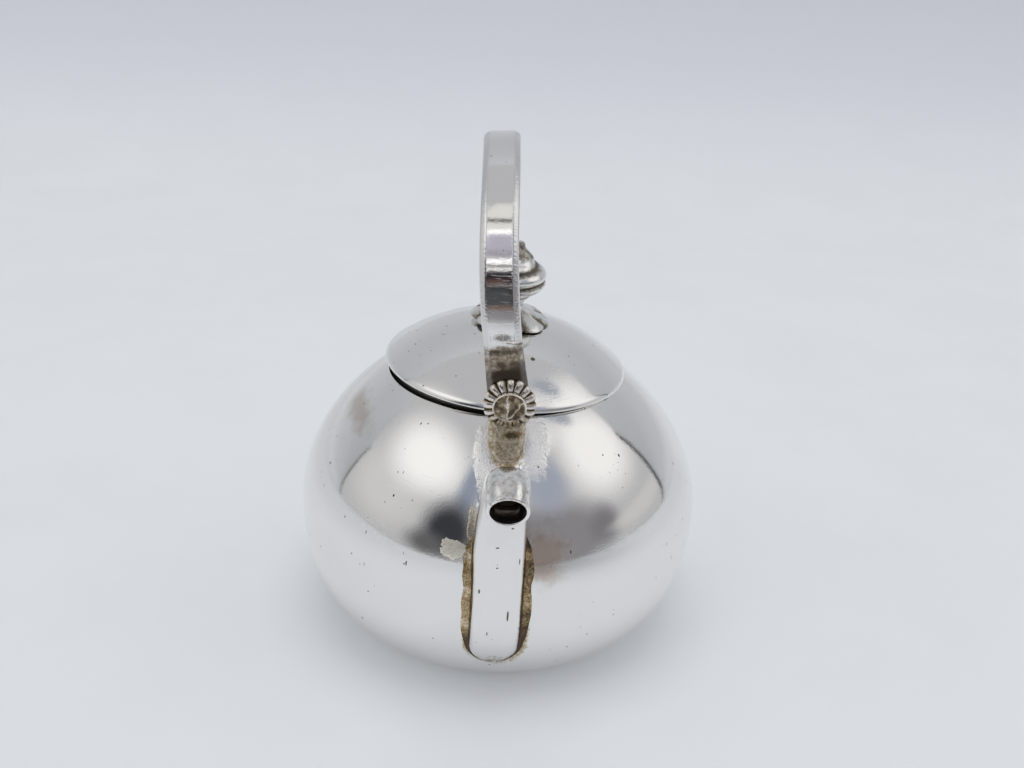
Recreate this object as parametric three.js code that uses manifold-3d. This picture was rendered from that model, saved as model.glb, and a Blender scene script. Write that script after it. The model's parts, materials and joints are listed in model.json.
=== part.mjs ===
// Miniature silver kettle: a round body with a spout, a strap handle that swings on two rivets
// and a loose domed lid with a bud finial. Millimetres, +Z up. The origin is the middle of the
// base, the spout points along -Y and the handle stands in the plane of the spout.
import * as THREE from 'three';
import { mergeVertices } from 'three/addons/utils/BufferGeometryUtils.js';
import Module from 'manifold-3d';

const wasm = await Module();
wasm.setup();

// Body: two superellipse curves that meet at the equator, exponent 2 being a plain ellipse
const BODY_RADIUS = 16;
const EQUATOR_HEIGHT = 10.6;
const SHOULDER_RISE = 13.7;
const SHOULDER_FULLNESS = 1.83;
const BELLY_FULLNESS = 2.5;
const BASE_RADIUS = 10.9;
const BODY_WALL = 0.6;
const BASE_THICKNESS = 0.8;
const MOUTH_RADIUS = 9.2;

// Spout: a flat-fronted trough on the belly that closes into a round tube and bends forward. Its middle
// climbs through points given as a share of the height and a distance off the body, then through
// a neck and a crest given as shares of the overhang. The foot stands a little to the left.
const SPOUT_FOOT_HEIGHT = 4.85;
const SPOUT_CREST_HEIGHT = 20.3;
const SPOUT_MOUTH_HEIGHT = 19.6;
const SPOUT_OVERHANG = 4.3;
const SPOUT_CLIMB = [[-0.03, -1.55], [0.16, -0.7], [0.42, -0.4], [0.66, 1.1]];
const SPOUT_NECK_SHARE = 0.86;
const SPOUT_NECK_REACH = 0.26;
const SPOUT_CREST_REACH = 0.56;
const SPOUT_FOOT_WIDTH = 3.8;
const SPOUT_FOOT_SWAY = 0.33;
const SPOUT_FOOT_DEPTH = 3;
const SPOUT_FOOT_SQUARENESS = 5;
const SPOUT_FOOT_ROUND = 0.11;
const SPOUT_START = 0.01;
const SPOUT_TUBE_DIAMETER = 2.9;
const SPOUT_WALL = 0.25;
const SPOUT_PORT_HEIGHT = 8;
const SPOUT_PORT_WIDTH = 2;
const SPOUT_PORT_TALL = 5;

// Lugs that stand on the shoulder and carry the rivets
const LUG_RISE = 2.56;
const LUG_THICKNESS = 1.1;
const LUG_FOOT_WIDTH = 1.9;
const LUG_NECK_WIDTH = 2.5;
const LUG_FLARE = 0.9;
const LUG_WAIST_FLARE = 0.1;
const LUG_SQUARENESS = 2.6;
const LUG_FROM_LID = 0.85;

// Rivets with a fluted rosette under each head
const SHANK_RADIUS = 0.6;
const RIVET_HEAD_RADIUS = 1.2;
const RIVET_HEAD_THICKNESS = 0.35;
const RIVET_TAIL_RADIUS = 0.9;
const RIVET_TAIL_THICKNESS = 0.35;
const ROSETTE_RADIUS = 1.82;
const ROSETTE_HEIGHT = 0.6;
const ROSETTE_EDGE = 0.2;
const ROSETTE_FLUTES = 16;
const ROSETTE_FLUTE_DEPTH = 0.06;

// Handle strap: each foot flares out to its rivet under a drawn-in neck, over shares of the foot's height.
// The front half of the strap bows a little to the left.
const HANDLE_RISE = 16;
const ARCH_RADIUS = 11.9;
const STRAP_THICKNESS = 1;
const STRAP_FOOT_WIDTH = 2.9;
const STRAP_TOP_WIDTH = 2.7;
const STRAP_BEVEL_WIDTH = 0.42;
const STRAP_BEVEL_DEPTH = 0.25;
const STRAP_BOW = 0.5;
const STRAP_FLARE_START = 0.3;
const STRAP_FLARE_END = 0.85;
const STRAP_NECK_SHARE = 0.93;
const STRAP_NECK_REACH = 1.9;
const STRAP_NECK_DRAW = 0.3;
const HANDLE_LEAN = THREE.MathUtils.degToRad(4);

// Lid
const LID_OVERLAP = 0.25;
const LID_RISE = 3.75;
const LID_FULLNESS = 2.2;
const LID_EDGE = 0.3;
const LID_SHEET = 0.5;
const COLLAR_DEPTH = 2;
const COLLAR_WALL = 0.45;
const LID_COCK = THREE.MathUtils.degToRad(2.3);
const LID_PITCH = THREE.MathUtils.degToRad(1);

// Finial on the lid; the bud's outline is in shares of its radius and height
const PETAL_RADIUS = 2.9;
const PETAL_ROOT_RADIUS = 1.45;
const PETAL_WAIST_RADIUS = 1.75;
const PETAL_WAIST_RISE = 0.7;
const PETAL_WAIST_FLUTE = 0.6;
const PETAL_RISE = 1.3;
const PETAL_EDGE = 0.3;
const PETAL_COUNT = 8;
const PETAL_DEPTH = 0.09;
const NECK_RADIUS = 0.9;
const BUD_RADIUS = 2.3;
const BUD_HEIGHT = 4.9;
const BUD_OUTLINE = [
  [0.39, 0], [0.4, 0.04], [0.6, 0.15], [0.86, 0.26], [0.99, 0.37], [1, 0.47], [0.9, 0.58],
  [0.7, 0.66], [0.54, 0.72], [0.46, 0.78], [0.3, 0.85], [0.18, 0.91], [0.14, 1],
];
const BUD_LOBES = 2;
const BUD_LOBE_DEPTH = 0.07;
const BUD_TWIST = THREE.MathUtils.degToRad(750);
const BUD_TURN = THREE.MathUtils.degToRad(112);
const PIN_RADIUS = 0.5;
const PIN_IN_BUD = 1.2;
const BURR_RADIUS = 1.3;
const BURR_THICKNESS = 0.4;
const FINIAL_LEAN = THREE.MathUtils.degToRad(2.7);

// Clearances
const SOLDER_GAP = 0.06;
const SEAT_GAP = 0.08;
const PIVOT_PLAY = 0.1;
const COLLAR_PLAY = 0.4;
const DRILL_OVERRUN = 0.5;

// Smoothness of the faceted curves
const TURN_SEGMENTS = 48;
const SMALL_SEGMENTS = 20;
const CURVE_STEPS = 8;
const STEPS_PER_FLUTE = 4;
const STEPS_PER_LOBE = 14;
const BUD_STEPS = 40;
const END_SWEEP = THREE.MathUtils.degToRad(82);
const ELLIPSE = 2;
const WELD = 1e-4;

// Places that follow from the sizes
const BELLY_DROP = EQUATOR_HEIGHT / superellipse(BASE_RADIUS / BODY_RADIUS, BELLY_FULLNESS);
const MOUTH_HEIGHT = shoulderHeightAt(MOUTH_RADIUS);
const LID_RADIUS = MOUTH_RADIUS + LID_OVERLAP;
const LUG_INNER = LID_RADIUS + LUG_FROM_LID;
const LUG_OUTER = LUG_INNER + LUG_THICKNESS;
const PIVOT_HEIGHT = MOUTH_HEIGHT + LUG_RISE;
const STRAP_INNER = LUG_OUTER + PIVOT_PLAY;
const STRAP_OUTER = STRAP_INNER + STRAP_THICKNESS;
const ROSETTE_INNER = STRAP_OUTER + PIVOT_PLAY;
const ROSETTE_OUTER = ROSETTE_INNER + ROSETTE_HEIGHT;

// Height over half-width of a superellipse quadrant, both as shares of its half-axes
function superellipse(share, fullness) {
  return (1 - share ** fullness) ** (1 / fullness);
}

// Height of the shoulder at a distance from the axis, with the curve drawn in by an inset
function shoulderHeightAt(radius, inset = 0) {
  const share = radius / (BODY_RADIUS - inset);
  return EQUATOR_HEIGHT + (SHOULDER_RISE - inset) * superellipse(share, SHOULDER_FULLNESS);
}

// Radius of the body at a height, on the belly or on the shoulder
function bodyRadiusAt(height, inset = 0) {
  const rise = height - EQUATOR_HEIGHT;
  const onShoulder = rise > 0;
  const axis = (onShoulder ? SHOULDER_RISE : BELLY_DROP) - inset;
  const fullness = onShoulder ? SHOULDER_FULLNESS : BELLY_FULLNESS;
  return (BODY_RADIUS - inset) * superellipse(Math.abs(rise) / axis, fullness);
}

// Points of one quadrant from the equator outwards, evenly stepped in angle, until the radius is met
function quadrant(endRadius, radius, axis, fullness) {
  const endAngle = Math.acos((endRadius / radius) ** (fullness / 2));
  const points = [];
  for (let i = 0; i <= CURVE_STEPS; i++) {
    const angle = endAngle * i / CURVE_STEPS;
    const across = radius * Math.max(Math.cos(angle), 0) ** (2 / fullness);
    points.push(new THREE.Vector2(across, axis * Math.sin(angle) ** (2 / fullness)));
  }
  return points;
}

// Body curve from the base up to a mouth radius
function bodyCurve(mouthRadius, inset = 0) {
  const radius = BODY_RADIUS - inset;
  const belly = quadrant(bodyRadiusAt(0, inset), radius, BELLY_DROP - inset, BELLY_FULLNESS);
  const shoulder = quadrant(mouthRadius, radius, SHOULDER_RISE - inset, SHOULDER_FULLNESS);
  const below = belly.slice(1).reverse().map((p) => new THREE.Vector2(p.x, EQUATOR_HEIGHT - p.y));
  const above = shoulder.map((p) => new THREE.Vector2(p.x, EQUATOR_HEIGHT + p.y));
  return [...below, ...above];
}

// Joins shared vertices and drops faces that have shrunk to a line
function weld(geometry) {
  const bare = new THREE.BufferGeometry();
  bare.setAttribute('position', geometry.attributes.position);
  bare.setIndex(geometry.index);
  const merged = mergeVertices(bare, WELD);
  const index = merged.index.array;
  const kept = [];
  for (let i = 0; i < index.length; i += 3) {
    const [a, b, c] = index.slice(i, i + 3);
    if (a !== b && b !== c && c !== a) {
      kept.push(a, b, c);
    }
  }
  merged.setIndex(kept);
  return merged;
}

function solidOf(geometry) {
  const welded = weld(geometry);
  const vertProperties = welded.attributes.position.array;
  const triVerts = Uint32Array.from(welded.index.array);
  return new wasm.Manifold(new wasm.Mesh({ numProp: 3, vertProperties, triVerts }));
}

function cut(geometry, ...tools) {
  const solid = tools.reduce((left, tool) => left.subtract(solidOf(tool)), solidOf(geometry));
  const mesh = solid.getMesh();
  const result = new THREE.BufferGeometry();
  result.setAttribute('position', new THREE.BufferAttribute(mesh.vertProperties, 3));
  result.setIndex(new THREE.BufferAttribute(mesh.triVerts, 1));
  return result;
}

// Turns a profile of radius and height about Z; a profile off the axis is closed into a ring
function turned(profile, segments = TURN_SEGMENTS) {
  const points = profile.map(([radius, height]) => new THREE.Vector2(radius, height));
  if (points[0].x > 0) {
    points.push(points[0].clone());
  }
  const geometry = new THREE.LatheGeometry(points, segments);
  geometry.rotateX(Math.PI / 2);
  return weld(geometry);
}

// Skin over rings of equal count: a ring of rings when looped, or else with a fan on each end
function loft(rings, looped = false) {
  const count = rings[0].length;
  const points = rings.flat();
  const faces = [];
  const spans = looped ? rings.length : rings.length - 1;
  for (let i = 0; i < spans; i++) {
    const near = i * count;
    const far = ((i + 1) % rings.length) * count;
    for (let j = 0; j < count; j++) {
      const k = (j + 1) % count;
      faces.push(near + j, near + k, far + j, near + k, far + k, far + j);
    }
  }
  if (!looped) {
    const last = points.length - count;
    const ends = [[0, rings[0]], [last, rings.at(-1)]];
    for (const [start, ring] of ends) {
      const middle = points.length;
      const sum = ring.reduce((total, point) => total.add(point), new THREE.Vector3());
      points.push(sum.divideScalar(count));
      for (let j = 0; j < count; j++) {
        const edge = [start + j, start + (j + 1) % count];
        faces.push(middle, ...(start === 0 ? edge.reverse() : edge));
      }
    }
  }
  const geometry = new THREE.BufferGeometry().setFromPoints(points);
  geometry.setIndex(faces);
  return geometry;
}

// Ring of points across a path in the YZ plane, from a flat section of across and inward offsets
function ringAcross(place, direction, section) {
  const inward = new THREE.Vector3(0, direction.z, -direction.y).normalize();
  return section.map(([across, depth]) => {
    const point = place.clone().addScaledVector(inward, depth);
    point.x += across;
    return point;
  });
}

// Rounded section between an ellipse, squareness 2, and a rectangle
function roundedSection(halfWidth, halfDepth, squareness, count) {
  return Array.from({ length: count }, (_, i) => {
    const angle = 2 * Math.PI * (i + 0.5) / count;
    const bend = (value) => Math.sign(value) * Math.abs(value) ** (2 / squareness);
    return [halfWidth * bend(Math.cos(angle)), halfDepth * bend(Math.sin(angle))];
  });
}

// Drill along Y through a plate that lies between two reaches from the axis
function crossHole(radius, inner, outer) {
  const length = outer - inner + 2 * DRILL_OVERRUN;
  const drill = new THREE.CylinderGeometry(radius, radius, length, SMALL_SEGMENTS);
  return drill.translate(0, (inner + outer) / 2, 0);
}

function silver(color, roughness) {
  return new THREE.MeshStandardMaterial({ color, roughness, metalness: 1 });
}

function piece(name, geometry, material) {
  const mesh = new THREE.Mesh(geometry, material);
  mesh.name = name;
  return mesh;
}

// Body shell: pierced mouth, flat foot edge and a port behind the spout
function bodyShell() {
  const outer = bodyCurve(MOUTH_RADIUS);
  const inner = bodyCurve(MOUTH_RADIUS, BODY_WALL).reverse();
  const wall = turned([...outer, ...inner].map((p) => [p.x, p.y]));
  const port = new THREE.CylinderGeometry(1, 1, BODY_RADIUS, SMALL_SEGMENTS);
  port.scale(SPOUT_PORT_WIDTH / 2, 1, SPOUT_PORT_TALL / 2);
  port.translate(0, -BODY_RADIUS, SPOUT_PORT_HEIGHT);
  return cut(wall, port);
}

// Body as a filled form, grown by the solder gap, that trims what stands on it
function bodyTrim() {
  const curve = bodyCurve(SHANK_RADIUS, -SOLDER_GAP).map((p) => [p.x, p.y]);
  const top = curve.at(-1)[1];
  return turned([[0, 0], ...curve, [0, top]]);
}

function baseDisc() {
  const radius = bodyRadiusAt(0, BODY_WALL) - SOLDER_GAP;
  return turned([[0, 0], [radius, 0], [radius, BASE_THICKNESS], [0, BASE_THICKNESS]]);
}

// Spout path up the belly, away from the shoulder and forward to the mouth
function spoutPath() {
  const heightAt = (share) => THREE.MathUtils.lerp(SPOUT_FOOT_HEIGHT, SPOUT_CREST_HEIGHT, share);
  const front = (share, height) => new THREE.Vector3(0, -BODY_RADIUS - share * SPOUT_OVERHANG, height);
  const climb = SPOUT_CLIMB.map(([share, standoff]) => {
    const height = heightAt(share);
    return new THREE.Vector3(0, -bodyRadiusAt(height) - standoff, height);
  });
  return new THREE.CatmullRomCurve3([
    ...climb,
    front(SPOUT_NECK_REACH, heightAt(SPOUT_NECK_SHARE)),
    front(SPOUT_CREST_REACH, SPOUT_CREST_HEIGHT),
    front(1, SPOUT_MOUTH_HEIGHT),
  ]);
}

function spoutRing(path, share, inset, ahead = 0) {
  const direction = path.getTangent(share);
  const place = path.getPoint(share).addScaledVector(direction, ahead);
  place.x -= SPOUT_FOOT_SWAY * (1 - share);
  const rounding = superellipse(Math.max(1 - share / SPOUT_FOOT_ROUND, 0), ELLIPSE);
  const width = rounding * THREE.MathUtils.lerp(SPOUT_FOOT_WIDTH, SPOUT_TUBE_DIAMETER, share);
  const depth = THREE.MathUtils.lerp(SPOUT_FOOT_DEPTH, SPOUT_TUBE_DIAMETER, share);
  const squareness = THREE.MathUtils.lerp(SPOUT_FOOT_SQUARENESS, ELLIPSE, share);
  const section = roundedSection(width / 2 - inset, depth / 2 - inset, squareness, SMALL_SEGMENTS);
  return ringAcross(place, direction, section);
}

function spoutRings(start, inset) {
  const path = spoutPath();
  const steps = 2 * CURVE_STEPS;
  return Array.from({ length: steps + 1 }, (_, i) => {
    return spoutRing(path, THREE.MathUtils.lerp(start, 1, i / steps), inset);
  });
}

function spout() {
  const bore = spoutRings(SPOUT_FOOT_ROUND, SPOUT_WALL);
  bore.push(spoutRing(spoutPath(), 1, SPOUT_WALL, DRILL_OVERRUN));
  return cut(loft(spoutRings(SPOUT_START, 0)), bodyTrim(), loft(bore));
}

// Lug: a post with a round top about the rivet, whose foot runs out over the shoulder as a tongue
function lug() {
  const footHeight = shoulderHeightAt(LUG_OUTER + LUG_FLARE) - BODY_WALL;
  const top = LUG_NECK_WIDTH / 2;
  const stations = [
    [footHeight, LUG_FOOT_WIDTH / 2, LUG_FLARE],
    [PIVOT_HEIGHT - LUG_RISE, (LUG_FOOT_WIDTH + LUG_NECK_WIDTH) / 4, LUG_WAIST_FLARE],
    [PIVOT_HEIGHT - top, LUG_NECK_WIDTH / 2, 0],
  ];
  for (let i = 0; i <= CURVE_STEPS; i++) {
    const angle = END_SWEEP * i / CURVE_STEPS;
    stations.push([PIVOT_HEIGHT + top * Math.sin(angle), top * Math.cos(angle), 0]);
  }
  const up = new THREE.Vector3(0, 0, 1);
  const rings = stations.map(([height, halfWidth, flare]) => {
    const place = new THREE.Vector3(0, -(LUG_INNER + LUG_OUTER + flare) / 2, height);
    const section = roundedSection(halfWidth, (LUG_THICKNESS + flare) / 2, LUG_SQUARENESS, SMALL_SEGMENTS);
    return ringAcross(place, up, section);
  });
  const hole = crossHole(SHANK_RADIUS + SOLDER_GAP, -LUG_OUTER, -LUG_INNER);
  return cut(loft(rings), bodyTrim(), hole.translate(0, 0, PIVOT_HEIGHT));
}

function rivet() {
  const tail = LUG_INNER - SOLDER_GAP;
  const head = ROSETTE_OUTER + SOLDER_GAP;
  return turned([
    [0, tail - RIVET_TAIL_THICKNESS],
    [RIVET_TAIL_RADIUS, tail - RIVET_TAIL_THICKNESS],
    [RIVET_TAIL_RADIUS, tail],
    [SHANK_RADIUS, tail],
    [SHANK_RADIUS, head],
    [RIVET_HEAD_RADIUS, head],
    [RIVET_HEAD_RADIUS, head + RIVET_HEAD_THICKNESS],
    [0, head + RIVET_HEAD_THICKNESS],
  ], SMALL_SEGMENTS);
}

// Ring turned about Z from a closed profile of radius, height and share of the flutes
function fluted(profile, count, depth) {
  const steps = STEPS_PER_FLUTE * count;
  const rings = Array.from({ length: steps }, (_, i) => {
    const angle = -2 * Math.PI * i / steps;
    const wave = 1 + depth * Math.cos(count * angle);
    return profile.map(([radius, height, share]) => {
      const reach = radius * THREE.MathUtils.lerp(1, wave, share);
      return new THREE.Vector3(reach * Math.cos(angle), reach * Math.sin(angle), height);
    });
  });
  return loft(rings, true);
}

// Rosette: a low dome with radial flutes that die out under the rivet head, pierced for the shank
function rosette() {
  const hole = SHANK_RADIUS + SOLDER_GAP;
  const profile = [[hole, ROSETTE_INNER, 0], [ROSETTE_RADIUS, ROSETTE_INNER, 1]];
  const steps = CURVE_STEPS / 2;
  for (let i = 0; i <= steps; i++) {
    const angle = Math.PI / 2 * i / steps;
    const radius = THREE.MathUtils.lerp(RIVET_HEAD_RADIUS, ROSETTE_RADIUS, Math.cos(angle));
    const height = THREE.MathUtils.lerp(ROSETTE_EDGE, ROSETTE_HEIGHT, Math.sin(angle));
    profile.push([radius, ROSETTE_INNER + height, Math.cos(angle)]);
  }
  profile.push([hole, ROSETTE_OUTER, 0]);
  return fluted(profile, ROSETTE_FLUTES, ROSETTE_FLUTE_DEPTH);
}

// Strap path about the pivot axis: a round end, a foot that flares to the rivet and a round arch
function strapStations() {
  const foot = (STRAP_INNER + STRAP_OUTER) / 2;
  const arch = ARCH_RADIUS - STRAP_THICKNESS / 2;
  const archHeight = HANDLE_RISE - ARCH_RADIUS;
  const end = STRAP_FOOT_WIDTH / 2;
  const half = [];
  for (let i = 0; i <= CURVE_STEPS / 2; i++) {
    const angle = END_SWEEP * (1 - 2 * i / CURVE_STEPS);
    half.push([foot, -end * Math.sin(angle), end * Math.cos(angle)]);
  }
  for (let i = 1; i <= CURVE_STEPS; i++) {
    const share = i / CURVE_STEPS;
    const flare = THREE.MathUtils.smoothstep(share, STRAP_FLARE_START, STRAP_FLARE_END);
    const taper = THREE.MathUtils.smoothstep(share, 0, 1);
    const halfWidth = THREE.MathUtils.lerp(STRAP_FOOT_WIDTH, STRAP_TOP_WIDTH, taper) / 2;
    half.push([THREE.MathUtils.lerp(foot, arch, flare), archHeight * share, halfWidth]);
  }
  for (let i = 1; i <= 2 * CURVE_STEPS; i++) {
    const angle = Math.PI / 2 * i / (2 * CURVE_STEPS);
    half.push([arch * Math.cos(angle), archHeight + arch * Math.sin(angle), STRAP_TOP_WIDTH / 2]);
  }
  const necked = half.map(([reach, height, halfWidth]) => {
    const off = (height - STRAP_NECK_SHARE * archHeight) / STRAP_NECK_REACH;
    const draw = STRAP_NECK_DRAW * Math.cos(Math.PI / 2 * THREE.MathUtils.clamp(off, -1, 1)) ** 2;
    return [reach - draw, height, halfWidth];
  });
  const front = necked.map(([reach, height, halfWidth]) => [-reach, height, halfWidth]);
  return [...front, ...necked.slice(0, -1).reverse()];
}

// Strap section with its outer edges bevelled
function strapSection(halfWidth) {
  const bevel = Math.min(STRAP_BEVEL_WIDTH, halfWidth / 2);
  const face = STRAP_THICKNESS / 2;
  const side = STRAP_BEVEL_DEPTH - face;
  return [
    [halfWidth, face],
    [-halfWidth, face],
    [-halfWidth, side],
    [bevel - halfWidth, -face],
    [halfWidth - bevel, -face],
    [halfWidth, side],
  ];
}

function handleStrap() {
  const stations = strapStations();
  const places = stations.map(([reach, height]) => {
    const bow = reach < 0 ? STRAP_BOW * Math.sin(Math.PI * Math.max(height, 0) / HANDLE_RISE) : 0;
    return new THREE.Vector3(-bow, reach, height);
  });
  const rings = stations.map(([, , halfWidth], i) => {
    const before = places[Math.max(i - 1, 0)];
    const after = places[Math.min(i + 1, places.length - 1)];
    return ringAcross(places[i], after.clone().sub(before), strapSection(halfWidth));
  });
  const radius = SHANK_RADIUS + PIVOT_PLAY;
  const frontHole = crossHole(radius, -STRAP_OUTER, -STRAP_INNER);
  const rearHole = crossHole(radius, STRAP_INNER, STRAP_OUTER);
  return cut(loft(rings), frontHole, rearHole);
}

// Height of the lid's outer face over its rim
function lidHeightAt(radius) {
  return LID_EDGE + (LID_RISE - LID_EDGE) * (1 - (radius / LID_RADIUS) ** LID_FULLNESS);
}

function lidDome() {
  const hole = PIN_RADIUS + PIVOT_PLAY;
  const flatRing = LID_RADIUS * (1 - (LID_SHEET - LID_EDGE) / (LID_RISE - LID_EDGE)) ** (1 / LID_FULLNESS);
  const outer = [];
  const inner = [];
  for (let i = 0; i <= CURVE_STEPS; i++) {
    const share = i / CURVE_STEPS;
    const outerRadius = THREE.MathUtils.lerp(LID_RADIUS, hole, share);
    const innerRadius = THREE.MathUtils.lerp(hole, flatRing, share);
    outer.push([outerRadius, lidHeightAt(outerRadius)]);
    inner.push([innerRadius, lidHeightAt(innerRadius) - LID_SHEET]);
  }
  return turned([[LID_RADIUS, 0], ...outer, ...inner]);
}

function lidCollar() {
  const outer = MOUTH_RADIUS - COLLAR_PLAY;
  const inner = outer - COLLAR_WALL;
  const top = lidHeightAt(outer) - LID_SHEET - SOLDER_GAP;
  return turned([[inner, -COLLAR_DEPTH], [outer, -COLLAR_DEPTH], [outer, top], [inner, top]]);
}

// Petals: a fluted cone whose tips come down to the lid on the side it leans to
function finialPetals() {
  const hole = PIN_RADIUS + SOLDER_GAP;
  const reach = PETAL_RADIUS * (1 + PETAL_DEPTH);
  const tip = lidHeightAt(reach) - LID_RISE + reach * Math.tan(FINIAL_LEAN) + SEAT_GAP;
  const profile = [
    [hole, SEAT_GAP, 0],
    [PETAL_ROOT_RADIUS, SEAT_GAP, 0],
    [PETAL_RADIUS, tip, 1],
    [PETAL_RADIUS, tip + PETAL_EDGE, 1],
    [PETAL_WAIST_RADIUS, PETAL_WAIST_RISE, PETAL_WAIST_FLUTE],
    [NECK_RADIUS, PETAL_RISE, 0],
    [hole, PETAL_RISE, 0],
  ];
  return fluted(profile, PETAL_COUNT, PETAL_DEPTH);
}

// Bud: low lobes that wind round a plump drop, bored for the pin
function finialBud() {
  const base = PETAL_RISE + SOLDER_GAP;
  const outline = BUD_OUTLINE.map(([radius, height]) => new THREE.Vector2(BUD_RADIUS * radius, height));
  const steps = STEPS_PER_LOBE * BUD_LOBES;
  const rings = new THREE.SplineCurve(outline).getPoints(BUD_STEPS).map(({ x: radius, y: share }) => {
    const swell = Math.sin(Math.PI * share);
    return Array.from({ length: steps }, (_, i) => {
      const angle = 2 * Math.PI * i / steps;
      const wave = Math.cos(BUD_LOBES * (angle - BUD_TURN - BUD_TWIST * share));
      const reach = radius * (1 + BUD_LOBE_DEPTH * swell * wave);
      return new THREE.Vector3(reach * Math.cos(angle), reach * Math.sin(angle), base + BUD_HEIGHT * share);
    });
  });
  const bore = PIN_RADIUS + SOLDER_GAP;
  const drill = new THREE.CylinderGeometry(bore, bore, 2 * (PIN_IN_BUD + SOLDER_GAP), SMALL_SEGMENTS);
  return cut(loft(rings), drill.rotateX(Math.PI / 2).translate(0, 0, base));
}

function finialPin() {
  const top = PETAL_RISE + SOLDER_GAP + PIN_IN_BUD;
  const bottom = -LID_SHEET - PIVOT_PLAY - BURR_THICKNESS - SEAT_GAP;
  return turned([[0, bottom], [PIN_RADIUS, bottom], [PIN_RADIUS, top], [0, top]], SMALL_SEGMENTS);
}

function finialBurr() {
  const hole = PIN_RADIUS + SOLDER_GAP;
  const top = -LID_SHEET - PIVOT_PLAY;
  const bottom = top - BURR_THICKNESS;
  return turned([[hole, bottom], [BURR_RADIUS, bottom], [BURR_RADIUS, top], [hole, top]], SMALL_SEGMENTS);
}

const polished = silver(0xd9dadd, 0.12);
const dulled = silver(0xb5a78f, 0.3);
const inside = silver(0xa8a7a4, 0.4);

const kettle = new THREE.Group();
kettle.add(piece('body_shell', bodyShell(), polished));
kettle.add(piece('base_disc', baseDisc(), polished));
kettle.add(piece('spout', spout(), polished));

// A lug, a rivet and a rosette in front, and the same turned about to the back
const pivotTurns = [['front', 0], ['rear', Math.PI]];
for (const [side, turn] of pivotTurns) {
  const mounting = new THREE.Group();
  mounting.rotation.z = turn;
  mounting.add(piece(`${side}_lug`, lug(), dulled));
  const outward = new THREE.Group();
  outward.position.z = PIVOT_HEIGHT;
  outward.rotation.x = Math.PI / 2;
  outward.add(piece(`${side}_rivet`, rivet(), dulled));
  outward.add(piece(`${side}_rosette`, rosette(), dulled));
  mounting.add(outward);
  kettle.add(mounting);
}

const handle = new THREE.Group();
handle.position.z = PIVOT_HEIGHT;
handle.rotation.y = -HANDLE_LEAN;
handle.add(piece('handle_strap', handleStrap(), polished));
kettle.add(handle);

// The lid sits a little cocked: down on the mouth at the right of the front, and up at the left
const lidTilt = Math.hypot(Math.sin(LID_COCK), Math.sin(LID_PITCH));
const lid = new THREE.Group();
lid.rotation.set(LID_PITCH, LID_COCK, 0);
lid.position.x = MOUTH_RADIUS * (1 - Math.cos(LID_COCK));
lid.position.z = MOUTH_HEIGHT + SEAT_GAP + MOUTH_RADIUS * lidTilt;
lid.add(piece('lid_dome', lidDome(), polished));
lid.add(piece('lid_collar', lidCollar(), inside));
kettle.add(lid);

const finial = new THREE.Group();
finial.position.z = LID_RISE;
finial.rotation.y = FINIAL_LEAN;
finial.add(piece('finial_petals', finialPetals(), dulled));
finial.add(piece('finial_bud', finialBud(), polished));
finial.add(piece('finial_pin', finialPin(), inside));
finial.add(piece('finial_burr', finialBurr(), inside));
lid.add(finial);

export default kettle;
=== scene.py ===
# Looks of a miniature silver kettle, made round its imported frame. Meshes are drawn in millimetres
# in the frame's own axes (+Z up, spout along -Y) and scaled to metres as they become pieces.
import json
import math

import bpy
from mathutils import Matrix, Vector, noise


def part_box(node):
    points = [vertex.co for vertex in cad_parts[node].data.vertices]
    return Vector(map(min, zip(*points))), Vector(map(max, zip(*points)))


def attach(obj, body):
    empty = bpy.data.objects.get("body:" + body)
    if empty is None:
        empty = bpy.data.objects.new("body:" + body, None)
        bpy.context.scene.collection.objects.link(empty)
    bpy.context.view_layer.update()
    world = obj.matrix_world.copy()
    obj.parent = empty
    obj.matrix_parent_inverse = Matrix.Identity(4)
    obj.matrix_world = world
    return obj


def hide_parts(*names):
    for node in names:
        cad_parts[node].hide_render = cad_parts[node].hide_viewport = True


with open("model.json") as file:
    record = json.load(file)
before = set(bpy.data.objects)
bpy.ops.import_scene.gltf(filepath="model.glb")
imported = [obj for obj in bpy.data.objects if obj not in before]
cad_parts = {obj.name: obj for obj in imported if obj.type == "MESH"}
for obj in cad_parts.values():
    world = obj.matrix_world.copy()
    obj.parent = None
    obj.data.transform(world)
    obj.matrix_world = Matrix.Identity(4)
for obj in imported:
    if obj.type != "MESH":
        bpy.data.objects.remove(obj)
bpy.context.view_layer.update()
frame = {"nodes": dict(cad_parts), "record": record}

MM = 0.001


def highest(node):
    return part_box(node)[1] / MM


def joint_place(name):
    joint = next(j for j in frame["record"]["behaviour"]["joints"] if j["name"] == name)
    return Vector(joint["pos_m"]) / MM


# Sizes of the body, read from the frame where it holds them
BODY_RADIUS = highest("body_shell").x
MOUTH_HEIGHT = highest("body_shell").z
PIVOT_HEIGHT = joint_place("handle_swing").z
EQUATOR_HEIGHT = 10.6
SHOULDER_RISE = 13.7
SHOULDER_FULLNESS = 1.83
BELLY_FULLNESS = 2.5
BASE_RADIUS = 10.9
BODY_WALL = 0.6
BASE_THICKNESS = 0.8
MOUTH_RADIUS = 9.2

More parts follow.
